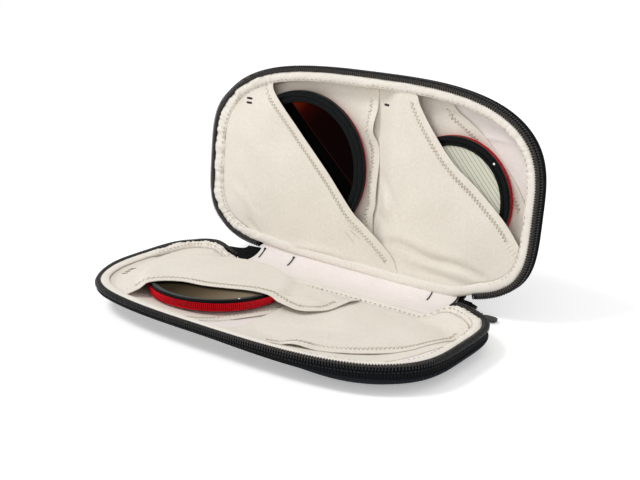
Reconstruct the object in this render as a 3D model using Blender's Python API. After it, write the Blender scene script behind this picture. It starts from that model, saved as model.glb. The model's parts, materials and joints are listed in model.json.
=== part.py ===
"""Zip-round case for round screw-in lens filters, lying open with its lid up.

Metres, +Z up. The origin is the middle of the rim outline, on the flat underside
of the base. X runs along the spine, the front of the base is at -Y, and the lid
stands behind the base on a two-fold fabric spine.

Both halves are the same shallow dish, described in half coordinates (x, v, h):
x along the spine, v away from the spine, h up from the outer face.
"""
from math import atan2, ceil, copysign, cos, degrees, pi, radians, sin

import bmesh
import bpy
from mathutils import Matrix, Vector

# Rim outline: the outer edge of the padded border, seen square on
RIM_HALF_LENGTH = 0.1008
RIM_FRONT_REACH = 0.0546
RIM_BACK_REACH = 0.0512
RIM_FRONT_POWER = 3.03
RIM_BACK_POWER = 4.4
RIM_HEIGHT = 0.0139
OUTLINE_STEPS = 64

# Moulded shell dish
SHELL_FLOOR = 0.0022
SHELL_LIP = 0.0012
SHELL_BULGE = 0.0023
SHELL_SKIRT = 0.0130
SHELL_BELLY = 0.0004
SHELL_RISE = 0.0064
SHELL_HEIGHT = 0.0080

# Spine and its two folds
SPINE_HALF_LENGTH = 0.0635
SPINE_END_TAPER = 0.0060
FOLD_MARGIN = 0.00275
FOLD_AXIS_HEIGHT = 0.0004
CLOSED_THICKNESS = 0.0288
SPINE_COVER_THICKNESS = 0.0008
SPINE_PAD_THICKNESS = 0.0007
SPINE_LINING_THICKNESS = 0.0004
SPINE_PAD_INSET = 0.0042
SPINE_PAD_END_INSET = 0.0010
SPINE_FOLD_ROOM = 0.0002
SPINE_REST_DEG = 8.5
LID_REST_DEG = 85.76

# Carrying strap on the outside of the spine and the bar tacks that hold it
STRAP_WIDTH = 0.0125
STRAP_THICKNESS = 0.0009
STRAP_OVERHANG = 0.0025
TACK_PLACE_SHARES = (-0.898, -0.567, 0.740, 0.961)
TACK_LENGTH = 0.0110
TACK_WIDTH = 0.0009
TACK_THICKNESS = 0.0003
TACK_KNOT_RADIUS = 0.0009

# Layers inside a half, from the shell's floor up
CLEARANCE = 0.0003
BOARD_THICKNESS = 0.0006
LINING_THICKNESS = 0.0004
PANEL_THICKNESS = 0.0005
PANEL_LAP_LIFT = 0.0008
PANEL_TIP_SHARE = 0.05

# Padded border along the rim
BORDER_WIDTH = 0.0063
BORDER_CROWN = 0.0004
BORDER_SEAM_DROP = 0.0023
BORDER_CROWN_SHARE = 0.35
BORDER_SHOULDER_SHARE = 0.82
BORDER_FOOT_SHARE = 0.4
BORDER_FOOT_WIDTH = 0.0039
BORDER_BULGE = 0.0005
BORDER_SPINE_SET_BACK = 0.0006
BASE_SPINE_BORDER_SHARE = 0.35
LID_SPINE_BORDER_SHARE = 1.0

# Zip
ZIP_LEFT_ROOM = 0.0030
ZIP_RIGHT_ROOM = 0.0150
TAPE_THICKNESS = 0.0007
TEETH_WIDTH = 0.0022
TEETH_HEIGHT = 0.0010
TEETH_PITCH = 0.0037
TEETH_VALLEY = 0.0006
STOP_LENGTH = 0.0017
WEB_REACH = 0.0115
WEB_MARGIN = 0.0040
WEB_END_MARGIN = 0.0064

# Zip slider, parked on the right end of the spine
SLIDER_LENGTH = 0.0097
SLIDER_WIDTH = 0.0104
SLIDER_PLATE = 0.0010
SLIDER_POST_WIDTH = 0.0020
SLIDER_TOP = 0.0022
SLIDER_BOTTOM = 0.0016
SLIDER_NOSE_SHARE = 0.72
SLIDER_SHOULDER_SHARES = (0.25, 0.70)
STAPLE_LENGTH = 0.0032
STAPLE_WIDTH = 0.0062
STAPLE_WIRE = 0.0008
STAPLE_DEPTH = 0.0009
PULL_LENGTH = 0.0100
PULL_WIDTH = 0.0052
PULL_THICKNESS = 0.0010
PULL_EYE_RADIUS = 0.0010
PULL_EYE_HOLE = 0.0007
PULL_EYE_WIDTH = 0.0038
PULL_TAB_SHARE = 0.9

# Pockets: ends of the free edges, as shares of the rim outline's half length and reach
LEFT_EDGE_FOOT_SHARES = (0.268, -0.869)
LEFT_EDGE_HEAD_SHARES = (-0.630, 0.842)
LEFT_EDGE_BOW = 0.0050
LEFT_BACK_EDGE_FOOT_SHARES = (0.074, -0.869)
LEFT_BACK_EDGE_HEAD_SHARES = (0.030, 0.861)
LEFT_BACK_EDGE_BOW = -0.0020
RIGHT_EDGE_HEAD_SHARES = (0.298, 0.852)
RIGHT_EDGE_FOOT_SHARES = (0.933, -0.371)
RIGHT_EDGE_BOW = 0.0030
RIGHT_BACK_EDGE_HEAD_SHARES = (0.463, 0.842)
RIGHT_BACK_EDGE_FOOT_SHARES = (0.933, -0.117)
RIGHT_BACK_EDGE_BOW = -0.0035
LAP_START_SHARE = -2.0
RIGHT_HIDDEN_SHARE = 0.020
RIGHT_BACK_HIDDEN_SHARE = 0.198
RIGHT_FOOT_STEP_SHARE = 0.6
RIGHT_RISE_SHARES = (0.40, 0.77)
LEFT_FRONT_GRID = (20, 3)
LEFT_BACK_GRID = (16, 4)
RIGHT_FRONT_GRID = (18, 5)
RIGHT_BACK_GRID = (12, 3)
LEFT_FRONT_HEIGHT = 0.0123
RIGHT_FRONT_HEIGHT = 0.0115
EMPTY_FRONT_HEIGHT = 0.0102
GAPE_FOOT_HEIGHT = 0.0120
GAPE_HEAD_HEIGHT = 0.0134

# Filters: radius as a share of the room inside a half, places as shares of the free room
FILTER_UNDERSIDE = 0.0057
FILTER_RIM_WIDTH = 0.0048
FILTER_SEAT_WIDTH = 0.0014
FILTER_THREAD_STEP = 0.0025
FILTER_THREAD_DEPTH = 0.0015
FILTER_GRIP_DEPTH = 0.0018
FILTER_LEDGE = 0.0007
FILTER_FRONT_STEP = 0.0004
FILTER_GLASS = 0.0010
FILTER_RETAINER = 0.0005
FILTER_STEPS = 32
LARGE_FILTER_SHARE = 1.3852
LARGE_FILTER_PLACE_SHARES = (0.272, -0.515)
LARGE_FILTER_DEPTH = 0.0062
SMALL_FILTER_SHARE = 1.0566
SMALL_FILTER_PLACE_SHARES = (0.794, -0.304)
SMALL_FILTER_DEPTH = 0.0055
MIDDLE_FILTER_SHARE = 1.1276
MIDDLE_FILTER_PLACE_SHARES = (0.1554, -0.4425)
MIDDLE_FILTER_DEPTH = 0.0060
MIDDLE_FILTER_UNDERSIDE = 0.0050
MIDDLE_FILTER_TILT_DEG = 1.6

# Sizes that follow from the ones above
FOLD_REACH = RIM_BACK_REACH + FOLD_MARGIN
SPINE_WIDTH = CLOSED_THICKNESS - 2 * FOLD_AXIS_HEIGHT
BOARD_BOTTOM = SHELL_FLOOR + CLEARANCE
LINING_BOTTOM = BOARD_BOTTOM + BOARD_THICKNESS + CLEARANCE
BACK_PANEL_HEIGHT = LINING_BOTTOM + LINING_THICKNESS + CLEARANCE
SEAM_GROW = -(BORDER_WIDTH + CLEARANCE)
SHELL_INNER_GROW = SHELL_BULGE - SHELL_LIP
SHELL_INNER_RISE = SHELL_RISE + SHELL_LIP
SHELL_FLOOR_GROW = SHELL_LIP - SHELL_SKIRT
SHELL_SLOPE = (SHELL_INNER_RISE - SHELL_FLOOR) / (SHELL_INNER_GROW - SHELL_FLOOR_GROW)
LINING_TURN_GROW = SHELL_FLOOR_GROW + (LINING_BOTTOM - CLEARANCE - SHELL_FLOOR) / SHELL_SLOPE
ZIP_END_LEFT = SPINE_HALF_LENGTH + ZIP_LEFT_ROOM
ZIP_END_RIGHT = SPINE_HALF_LENGTH + ZIP_RIGHT_ROOM
ROOM_HALF_LENGTH = RIM_HALF_LENGTH + SEAM_GROW
ROOM_HALF_DEPTH = (RIM_FRONT_REACH + RIM_BACK_REACH) / 2 + SEAM_GROW
ROOM_MIDDLE = (RIM_FRONT_REACH - RIM_BACK_REACH) / 2
ROOM_SIZE = 1 / (1 / ROOM_HALF_LENGTH + 1 / ROOM_HALF_DEPTH)
LARGE_FILTER_RADIUS = LARGE_FILTER_SHARE * ROOM_SIZE
SMALL_FILTER_RADIUS = SMALL_FILTER_SHARE * ROOM_SIZE
MIDDLE_FILTER_RADIUS = MIDDLE_FILTER_SHARE * ROOM_SIZE

COLOURS = {
    "shell_fabric": ((0.018, 0.020, 0.023), 0.85, 0.0),
    "board": ((0.30, 0.29, 0.27), 0.8, 0.0),
    "lining": ((0.72, 0.66, 0.58), 0.9, 0.0),
    "border": ((0.80, 0.75, 0.69), 0.9, 0.0),
    "panel": ((0.73, 0.69, 0.60), 0.9, 0.0),
    "tape": ((0.012, 0.013, 0.015), 0.8, 0.0),
    "teeth": ((0.010, 0.010, 0.010), 0.45, 0.0),
    "slider": ((0.012, 0.012, 0.012), 0.35, 0.3),
    "thread": ((0.010, 0.010, 0.010), 0.7, 0.0),
    "red_metal": ((0.55, 0.01, 0.015), 0.35, 0.8),
    "black_metal": ((0.012, 0.012, 0.012), 0.4, 0.7),
    "red_glass": ((0.10, 0.01, 0.01), 0.05, 0.0),
    "green_glass": ((0.55, 0.58, 0.50), 0.05, 0.0),
    "brown_glass": ((0.20, 0.17, 0.13), 0.05, 0.0),
}


def clear_scene():
    for old in list(bpy.data.objects):
        bpy.data.objects.remove(old, do_unlink=True)


def material(name):
    made = bpy.data.materials.get(name)
    if made is None:
        colour, roughness, metallic = COLOURS[name]
        made = bpy.data.materials.new(name)
        made.use_nodes = True
        shader = made.node_tree.nodes["Principled BSDF"]
        shader.inputs["Base Color"].default_value = (*colour, 1.0)
        shader.inputs["Roughness"].default_value = roughness
        shader.inputs["Metallic"].default_value = metallic
    return made


def smooth_step(low, high, value):
    share = min(max((value - low) / (high - low), 0.0), 1.0)
    return share * share * (3.0 - 2.0 * share)


def blend(a, b, share):
    return a + (b - a) * share


def blend_pair(a, b, share):
    return (blend(a[0], b[0], share), blend(a[1], b[1], share))


def at_shares(shares):
    """Point (x, v) at shares of the rim outline's half length and of its reach."""
    reach = RIM_FRONT_REACH if shares[1] > 0 else RIM_BACK_REACH
    return (shares[0] * RIM_HALF_LENGTH, shares[1] * reach)


def filter_place(radius, neighbour_radius, shares):
    """Centre (x, v) of a filter, by its shares of the length and depth left free."""
    free_length = 2 * (ROOM_HALF_LENGTH - radius - neighbour_radius)
    behind = 2 * neighbour_radius if shares[0] > 0.5 else 0.0
    x = -ROOM_HALF_LENGTH + behind + radius + shares[0] * free_length
    return (x, ROOM_MIDDLE + shares[1] * (ROOM_HALF_DEPTH - radius))


# Rim outline


def rim_samples():
    """Corner points of the rim outline, from the spine's middle round by +x."""
    points = []
    for step in range(OUTLINE_STEPS):
        turn = 2 * pi * step / OUTLINE_STEPS - pi / 2
        across, along = round(cos(turn), 9), round(sin(turn), 9)
        power = RIM_FRONT_POWER if along > 0 else RIM_BACK_POWER
        reach = RIM_FRONT_REACH if along > 0 else RIM_BACK_REACH
        x = RIM_HALF_LENGTH * copysign(abs(across) ** (2 / power), across)
        v = reach * copysign(abs(along) ** (2 / power), along)
        points.append(Vector((x, v)))
    return points


def rim_mitres(points):
    """Per point, the shift that moves both edges beside it out by one unit."""
    mitres = []
    for index, point in enumerate(points):
        before = point - points[index - 1]
        after = points[(index + 1) % len(points)] - point
        first = Vector((before.y, -before.x)).normalized()
        second = Vector((after.y, -after.x)).normalized()
        mitres.append((first + second) / (1.0 + first.dot(second)))
    return mitres


RIM_POINTS = rim_samples()
RIM_MITRES = rim_mitres(RIM_POINTS)
LARGE_FILTER_PLACE = filter_place(LARGE_FILTER_RADIUS, SMALL_FILTER_RADIUS, LARGE_FILTER_PLACE_SHARES)
SMALL_FILTER_PLACE = filter_place(SMALL_FILTER_RADIUS, LARGE_FILTER_RADIUS, SMALL_FILTER_PLACE_SHARES)
MIDDLE_FILTER_PLACE = filter_place(MIDDLE_FILTER_RADIUS, 0.0, MIDDLE_FILTER_PLACE_SHARES)


def rim_at(place, grow=0.0):
    """Point of the rim outline, grown outwards; place counts outline steps."""
    index = int(place // 1) % OUTLINE_STEPS
    following = (index + 1) % OUTLINE_STEPS
    start = RIM_POINTS[index] + RIM_MITRES[index] * grow
    end = RIM_POINTS[following] + RIM_MITRES[following] * grow
    return start.lerp(end, place % 1)


def rim_place(target, grow):
    """The place on the grown outline that lies nearest to a point (x, v)."""
    goal = Vector(target)
    best_place, best_gap = 0.0, None
    for index in range(OUTLINE_STEPS):
        start, end = rim_at(index, grow), rim_at(index + 1, grow)
        edge = end - start
        share = min(max((goal - start).dot(edge) / edge.length_squared, 0.0), 1.0)
        gap = (start.lerp(end, share) - goal).length
        if best_gap is None or gap < best_gap:
            best_place, best_gap = index + share, gap
    return best_place


def rim_run(start, end, grow, count):
    """Points at equal steps along the grown outline between two places."""
    steps = [start] + list(range(int(start) + 1, ceil(end))) + [end]
    corners = [rim_at(step, grow) for step in steps]
    return run_along(corners, count)


def run_along(corners, count):
    """Points at equal steps along a run of corners."""
    lengths = [(b - a).length for a, b in zip(corners, corners[1:])]
    total = sum(lengths)
    points = []
    for number in range(count + 1):
        left = total * number / count
        index = 0
        while index < len(lengths) - 1 and left > lengths[index]:
            left -= lengths[index]
            index += 1
        share = min(left / lengths[index], 1.0)
        points.append(corners[index].lerp(corners[index + 1], share))
    return points


def spine_weight(point):
    """1 where the rim runs along the spine, 0 where it has its full wall."""
    if point.y > 0:
        return 0.0
    return 1.0 - smooth_step(SPINE_HALF_LENGTH, SPINE_HALF_LENGTH + SPINE_END_TAPER, abs(point.x))


# Meshes


def add_object(name, parent, colour, mesh):
    made = bpy.data.objects.new(name, mesh)
    bpy.context.scene.collection.objects.link(made)
    made.parent = parent
    mesh.materials.append(material(colour))
    return made


def closed_mesh(name, rings, wrap, mirror_at=None):
    """Skin over rings of points; the ends are capped, or joined up if wrap.

    With mirror_at, four-sided faces are split, the other way from that side on.
    """
    bm = bmesh.new()
    made = [[bm.verts.new(point) for point in ring] for ring in rings]
    pairs = list(zip(made, made[1:]))
    if wrap:
        pairs.append((made[-1], made[0]))
    else:
        bm.faces.new(made[0])
        bm.faces.new(made[-1])
    for lower, upper in pairs:
        for side in range(len(lower)):
            after = (side + 1) % len(lower)
            corners = (lower[side], lower[after], upper[after], upper[side])
            if mirror_at is None:
                bm.faces.new(corners)
                continue
            if side >= mirror_at:
                corners = corners[1:] + corners[:1]
            bm.faces.new(corners[:3])
            bm.faces.new(corners[2:] + corners[:1])
    bmesh.ops.recalc_face_normals(bm, faces=bm.faces)
    mesh = bpy.data.meshes.new(name)
    bm.to_mesh(mesh)
    bm.free()
    return mesh


def soften(piece, angle_deg):
    piece.data.shade_smooth()
    piece.data.set_sharp_from_angle(angle=radians(angle_deg))


class Half:
    """One half of the case: its parent and the way half coordinates map to it."""

    def __init__(self, name, parent, mirrored, spine_border_share):
        self.name = name
        self.parent = parent
        self.mirrored = mirrored
        self.spine_border_share = spine_border_share

    def place(self, x, v, h):
        if self.mirrored:
            return Vector((x, -v, h))
        return Vector((x, v + FOLD_REACH, h - FOLD_AXIS_HEIGHT))

    def add(self, name, colour, rings, wrap=False, round_angle=50, mirror_at=None):
        mesh = closed_mesh(name, rings, wrap, mirror_at)
        piece = add_object(name, self.parent, colour, mesh)
        soften(piece, round_angle)
        return piece


def rim_ring(half, wall, spine):
    """One ring round the whole rim: (grow, h) on the wall and at the spine."""
    ring = []
    for index in range(OUTLINE_STEPS):
        share = spine_weight(RIM_POINTS[index])
        grow, height = blend_pair(wall, spine, share)
        point = rim_at(index, grow)
        ring.append(half.place(point.x, point.y, height))
    return ring


def shell_inside(grow):
    """Height of the inner face of the shell's sloping wall."""
    return SHELL_FLOOR + SHELL_SLOPE * max(grow - SHELL_FLOOR_GROW, 0.0)


def make_shell(half):
    edge = FOLD_MARGIN - FOLD_AXIS_HEIGHT - CLEARANCE
    middle_share = 1 / 2
    middle = blend(-SHELL_SKIRT, SHELL_BULGE, middle_share)
    wall = [
        (-SHELL_SKIRT, 0.0),
        (middle, SHELL_RISE * middle_share - SHELL_BELLY),
        (SHELL_BULGE, SHELL_RISE),
        (SHELL_BULGE, SHELL_HEIGHT),
        (SHELL_INNER_GROW, SHELL_HEIGHT),
        (SHELL_INNER_GROW, SHELL_INNER_RISE),
        (SHELL_FLOOR_GROW, SHELL_FLOOR),
    ]
    spine = [
        (-SHELL_SKIRT, 0.0),
        (blend(-SHELL_SKIRT, edge, middle_share), 0.0),
        (edge, 0.0),
        (edge, SHELL_FLOOR),
        (edge - SHELL_LIP / 2, SHELL_FLOOR),
        (edge - SHELL_LIP, SHELL_FLOOR),
        (SHELL_FLOOR_GROW, SHELL_FLOOR),
    ]
    rings = [rim_ring(half, on_wall, at_spine) for on_wall, at_spine in zip(wall, spine)]
    name = half.name + "_shell"
    return half.add(name, "shell_fabric", rings, round_angle=20, mirror_at=OUTLINE_STEPS // 2)


def make_board(half):
    grow = -SHELL_SKIRT
    rings = [rim_ring(half, (grow, h), (grow, h)) for h in (BOARD_BOTTOM, BOARD_BOTTOM + BOARD_THICKNESS)]
    return half.add(half.name + "_board", "board", rings)


def make_lining(half):
    """Cloth over the board, turned up along the wall and flat under the spine's border."""
    turn = LINING_TURN_GROW
    edge = shell_inside(SEAM_GROW) + CLEARANCE
    spine_edge = -BORDER_FOOT_WIDTH / 2 - CLEARANCE
    rings = []
    for grow, on_wall, at_spine in ((turn, LINING_BOTTOM, turn), (SEAM_GROW, edge, spine_edge)):
        rings.append(rim_ring(half, (grow, on_wall), (at_spine, LINING_BOTTOM)))
    top = LINING_BOTTOM + LINING_THICKNESS
    for grow, on_wall, at_spine in ((SEAM_GROW, edge + LINING_THICKNESS, spine_edge), (turn, top, turn)):
        rings.append(rim_ring(half, (grow, on_wall), (at_spine, top)))
    return half.add(half.name + "_lining", "lining", rings, mirror_at=OUTLINE_STEPS // 2)


def border_section(foot_at):
    """Cross-section of the padded border as (grow, h); foot_at gives what it stands on."""
    seam = RIM_HEIGHT - BORDER_SEAM_DROP
    back = BORDER_FOOT_WIDTH * BORDER_FOOT_SHARE
    front = back + BORDER_FOOT_WIDTH
    return [
        (-CLEARANCE / 2, RIM_HEIGHT),
        (-BORDER_WIDTH * BORDER_CROWN_SHARE, RIM_HEIGHT + BORDER_CROWN),
        (-BORDER_WIDTH * BORDER_SHOULDER_SHARE, RIM_HEIGHT - BORDER_CROWN * 2),
        (-BORDER_WIDTH, seam),
        (-front, foot_at(-front) + 2 * CLEARANCE),
        (-back, foot_at(-back) + CLEARANCE),
        (BORDER_BULGE, foot_at(BORDER_BULGE) + CLEARANCE),
        (BORDER_BULGE, seam + BORDER_CROWN),
    ]


def make_border(half):
    flat = LINING_BOTTOM + LINING_THICKNESS
    on_wall = border_section(shell_inside)
    at_spine = border_section(lambda grow: flat)
    rings = []
    for wall, (grow, height) in zip(on_wall, at_spine):
        spine_height = blend(flat + CLEARANCE, height, half.spine_border_share)
        rings.append(rim_ring(half, wall, (min(grow, -BORDER_SPINE_SET_BACK), spine_height)))
    return half.add(half.name + "_border", "border", rings, wrap=True, mirror_at=OUTLINE_STEPS // 2)


def zip_places(end_left, end_right):
    """Where a strip starts and stops on the outline, counted the long way round."""
    start = rim_place((end_right, -RIM_BACK_REACH), 0.0)
    end = rim_place((-end_left, -RIM_BACK_REACH), 0.0)
    return start, end


def rim_strip(half, name, colour, places, section, height_at=None):
    """A strip along the rim outline; height_at may lower its upper corners."""
    rings = []
    for number, place in enumerate(places):
        ring = []
        for corner, (grow, height) in enumerate(section):
            drop = height_at(number) if height_at and corner >= 2 else 0.0
            point = rim_at(place, grow)
            ring.append(half.place(point.x, point.y, height - drop))
        rings.append(ring)
    return half.add(name, colour, rings, round_angle=40)


def whole_steps(start, end):
    return [start] + list(range(int(start) + 1, ceil(end))) + [end]


def half_pitch_places(start, end, pitch):
    """Places on the outline half a pitch apart, from start to end."""
    steps = whole_steps(start, end)
    lengths = [(rim_at(b) - rim_at(a)).length for a, b in zip(steps, steps[1:])]
    count = 2 * round(sum(lengths) / pitch)
    places, index, passed = [], 0, 0.0
    for number in range(count + 1):
        goal = sum(lengths) * number / count
        while index < len(lengths) - 1 and passed + lengths[index] < goal:
            passed += lengths[index]
            index += 1
        share = min((goal - passed) / lengths[index], 1.0)
        places.append(blend(steps[index], steps[index + 1], share))
    return places


def box_section(grow, width, bottom, top):
    return [(grow + width, bottom), (grow, bottom), (grow, top), (grow + width, top)]


def make_zip_side(half):
    tape_grow = BORDER_BULGE + 2 * CLEARANCE
    teeth_bottom = RIM_HEIGHT - 2 * CLEARANCE
    teeth_top = teeth_bottom + TEETH_HEIGHT
    tape_top = teeth_bottom - CLEARANCE
    start, end = zip_places(ZIP_END_LEFT, ZIP_END_RIGHT)
    tape = box_section(tape_grow, TAPE_THICKNESS, SHELL_HEIGHT + CLEARANCE, tape_top)
    rim_strip(half, half.name + "_zip_tape", "tape", whole_steps(start, end), tape)
    stop = box_section(CLEARANCE, TEETH_WIDTH, teeth_bottom, teeth_top)
    stop_start = zip_places(ZIP_END_LEFT + STOP_LENGTH, ZIP_END_RIGHT)[1]
    rim_strip(half, half.name + "_zip_stop", "teeth", whole_steps(stop_start, end), stop)
    row_end = zip_places(ZIP_END_LEFT + STOP_LENGTH + CLEARANCE, ZIP_END_RIGHT)[1]
    comb = [(CLEARANCE + TEETH_WIDTH, teeth_bottom), (CLEARANCE, teeth_bottom),
            (CLEARANCE + TEETH_WIDTH / 2, teeth_top)]
    rim_strip(half, half.name + "_zip_teeth", "teeth", half_pitch_places(start, row_end, TEETH_PITCH), comb,
              lambda number: TEETH_VALLEY * (1 - number % 2))


# Pockets


def bowed_edge(head, foot, bow, count):
    """Free edge of a pocket: a parabola between two points, bowed to its right."""
    start, end = Vector(head), Vector(foot)
    along = end - start
    across = Vector((along.y, -along.x)).normalized()
    points = []
    for step in range(count + 1):
        share = step / count
        points.append(start.lerp(end, share) + across * (4 * bow * share * (1 - share)))
    return points


def make_panel(half, name, first, second, rows, height_at):
    """Cloth between two runs of (x, v) points, with its underside at height_at."""
    top, bottom = [], []
    for start, end in zip(first, second):
        column = [start.lerp(end, row / rows) for row in range(rows + 1)]
        bottom.append([(p.x, p.y, height_at(p.x, p.y)) for p in column])
        top.append([(p.x, p.y, height_at(p.x, p.y) + PANEL_THICKNESS) for p in column])
    rings = []
    for under, over in zip(bottom, top):
        rings.append([half.place(*point) for point in under + over[::-1]])
    return half.add(name, "panel", rings, round_angle=60)


def left_front_height(half):
    if not half.mirrored:
        return lambda x, v: LEFT_FRONT_HEIGHT

    def gaping(x, v):
        share = (v + RIM_BACK_REACH) / RIM_BACK_REACH
        return blend(GAPE_FOOT_HEIGHT, GAPE_HEAD_HEIGHT, min(max(share, 0.0), 1.0))
    return gaping


def left_back_height(x, v):
    foot_x, head_x = at_shares(LEFT_BACK_EDGE_FOOT_SHARES)[0], at_shares(LEFT_BACK_EDGE_HEAD_SHARES)[0]
    lift = smooth_step(LAP_START_SHARE * foot_x, head_x, x)
    return BACK_PANEL_HEIGHT + PANEL_LAP_LIFT * lift


def right_front_height(half):
    full = EMPTY_FRONT_HEIGHT if half.mirrored else RIGHT_FRONT_HEIGHT
    left_end = LARGE_FILTER_PLACE[0] + LARGE_FILTER_RADIUS
    right_end = SMALL_FILTER_PLACE[0] - SMALL_FILTER_RADIUS
    foot, head = (blend(left_end, right_end, share) for share in RIGHT_RISE_SHARES)

    def rising(x, v):
        return blend(BACK_PANEL_HEIGHT, full, smooth_step(foot, head, x))
    return rising


def left_panel(half, name, grow, edge, bow, columns, rows, height_at):
    """Panel on the left of its free edge, sewn in round the left end."""
    head_place, foot_place = (rim_place(at_shares(shares), grow) for shares in edge)
    if foot_place < OUTLINE_STEPS / 2:
        foot_place += OUTLINE_STEPS
    seam = rim_run(head_place, foot_place, grow, columns)
    free = bowed_edge(seam[0], seam[-1], bow, columns)
    free[0] = seam[0].lerp(free[1], PANEL_TIP_SHARE)
    free[-1] = seam[-1].lerp(free[-2], PANEL_TIP_SHARE)
    return make_panel(half, name, seam, free, rows, height_at)


def seam_point(place, grow, height_at):
    """Point of a panel's seam, moved in where the turned-up lining is in its way."""
    point = rim_at(place, grow)
    room = height_at(point.x, point.y) - SHELL_FLOOR - LINING_THICKNESS - 4 * CLEARANCE
    return rim_at(place, min(grow, SHELL_FLOOR_GROW + room / SHELL_SLOPE))


def right_panel(half, name, grow, hidden_share, edge, bow, columns, rows, height_at):
    """Panel below its free edge, sewn in along the spine and the right end."""
    top_place, right_place = (rim_place(at_shares(shares), grow) for shares in edge)
    low_place, hidden_place = (rim_place(at_shares((hidden_share, end)), grow) for end in (-1, 1))
    lower = rim_run(low_place, right_place - RIGHT_FOOT_STEP_SHARE, grow, columns)
    steps = [step for step in range(int(hidden_place), int(top_place), -1) if step > top_place]
    top = [seam_point(place, grow, height_at) for place in [hidden_place] + steps]
    free = bowed_edge(rim_at(top_place, grow), rim_at(right_place, grow), bow, columns)
    upper = run_along(top + free, columns)
    return make_panel(half, name, lower, upper, rows, height_at)


def make_pockets(half, left_number, right_number):
    left_panel(half, f"pocket_{left_number}_front", SEAM_GROW, (LEFT_EDGE_HEAD_SHARES, LEFT_EDGE_FOOT_SHARES),
               LEFT_EDGE_BOW, *LEFT_FRONT_GRID, left_front_height(half))
    left_panel(half, f"pocket_{left_number}_back", LINING_TURN_GROW,
               (LEFT_BACK_EDGE_HEAD_SHARES, LEFT_BACK_EDGE_FOOT_SHARES),
               LEFT_BACK_EDGE_BOW, *LEFT_BACK_GRID, left_back_height)
    right_panel(half, f"pocket_{right_number}_front", SEAM_GROW, RIGHT_HIDDEN_SHARE,
                (RIGHT_EDGE_HEAD_SHARES, RIGHT_EDGE_FOOT_SHARES),
                RIGHT_EDGE_BOW, *RIGHT_FRONT_GRID, right_front_height(half))
    right_panel(half, f"pocket_{right_number}_back", LINING_TURN_GROW, RIGHT_BACK_HIDDEN_SHARE,
                (RIGHT_BACK_EDGE_HEAD_SHARES, RIGHT_BACK_EDGE_FOOT_SHARES),
                RIGHT_BACK_EDGE_BOW, *RIGHT_BACK_GRID, lambda x, v: BACK_PANEL_HEIGHT)


# Filters


def turned(name, parent, colour, profile, hole=True):
    """Ring or disc turned about Z from a closed run of (radius, z)."""
    rings = []
    for radius, z in profile:
        ring = []
        for step in range(FILTER_STEPS):
            turn = 2 * pi * step / FILTER_STEPS
            ring.append((radius * cos(turn), radius * sin(turn), z))
        rings.append(ring)
    piece = add_object(name, parent, colour, closed_mesh(name, rings, hole))
    soften(piece, 30)
    return piece


def make_filter(name, frame, radius, depth, glass_colour):
    """Two-ring rotating filter; its frame's origin is the middle of the underside."""
    bore = radius - FILTER_RIM_WIDTH
    seat = bore + FILTER_SEAT_WIDTH
    grip_top = FILTER_THREAD_DEPTH + FILTER_GRIP_DEPTH
    front_bottom = grip_top + CLEARANCE
    front_radius = radius - FILTER_FRONT_STEP
    turned(name + "_rear_ring", frame, "red_metal", [
        (bore, 0.0), (radius - FILTER_THREAD_STEP, 0.0),
        (radius - FILTER_THREAD_STEP, FILTER_THREAD_DEPTH), (radius, FILTER_THREAD_DEPTH),
        (radius, grip_top), (seat, grip_top), (seat, FILTER_THREAD_DEPTH), (bore, FILTER_THREAD_DEPTH)])
    rear_glass = FILTER_THREAD_DEPTH + CLEARANCE
    turned(name + "_rear_glass", frame, glass_colour, [
        (seat - CLEARANCE, rear_glass), (seat - CLEARANCE, rear_glass + FILTER_GLASS)], hole=False)
    turn_frame = add_empty(name + "_turn_axis", frame, (0.0, 0.0, front_bottom))
    top = depth - front_bottom
    turned(name + "_front_ring", turn_frame, "black_metal", [
        (bore, 0.0), (front_radius, 0.0), (front_radius, top), (seat, top),
        (seat, FILTER_LEDGE), (bore, FILTER_LEDGE)])
    front_glass = FILTER_LEDGE + CLEARANCE
    glass_top = front_glass + FILTER_GLASS
    if glass_top + CLEARANCE + FILTER_RETAINER > top:
        front_glass = FILTER_LEDGE + CLEARANCE / 2
        glass_top = top - CLEARANCE - FILTER_RETAINER
    turned(name + "_front_glass", turn_frame, glass_colour, [
        (seat - CLEARANCE, front_glass), (seat - CLEARANCE, glass_top)], hole=False)
    retainer = glass_top + CLEARANCE
    hole = bore + FILTER_SEAT_WIDTH / 3
    turned(name + "_retainer", turn_frame, "black_metal", [
        (hole, retainer), (seat - CLEARANCE, retainer),
        (seat - CLEARANCE, retainer + FILTER_RETAINER), (hole, retainer + FILTER_RETAINER)])


# Spine, strap and zip slider


def add_empty(name, parent, location, turn_deg=0.0):
    made = bpy.data.objects.new(name, None)
    bpy.context.scene.collection.objects.link(made)
    made.parent = parent
    made.location = location
    made.rotation_euler = (radians(turn_deg), 0.0, 0.0)
    made.empty_display_size = TEETH_WIDTH
    return made


def block(name, parent, colour, low, high, bevel=0.0):
    """Rectangular sheet or bar between two corners, with softened edges."""
    rings = []
    for x in (low[0], high[0]):
        rings.append([(x, low[1], low[2]), (x, high[1], low[2]), (x, high[1], high[2]), (x, low[1], high[2])])
    piece = add_object(name, parent, colour, closed_mesh(name, rings, wrap=False))
    if bevel:
        rounding = piece.modifiers.new("edge", "BEVEL")
        rounding.width = bevel
        rounding.segments = 1
    return piece


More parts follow.
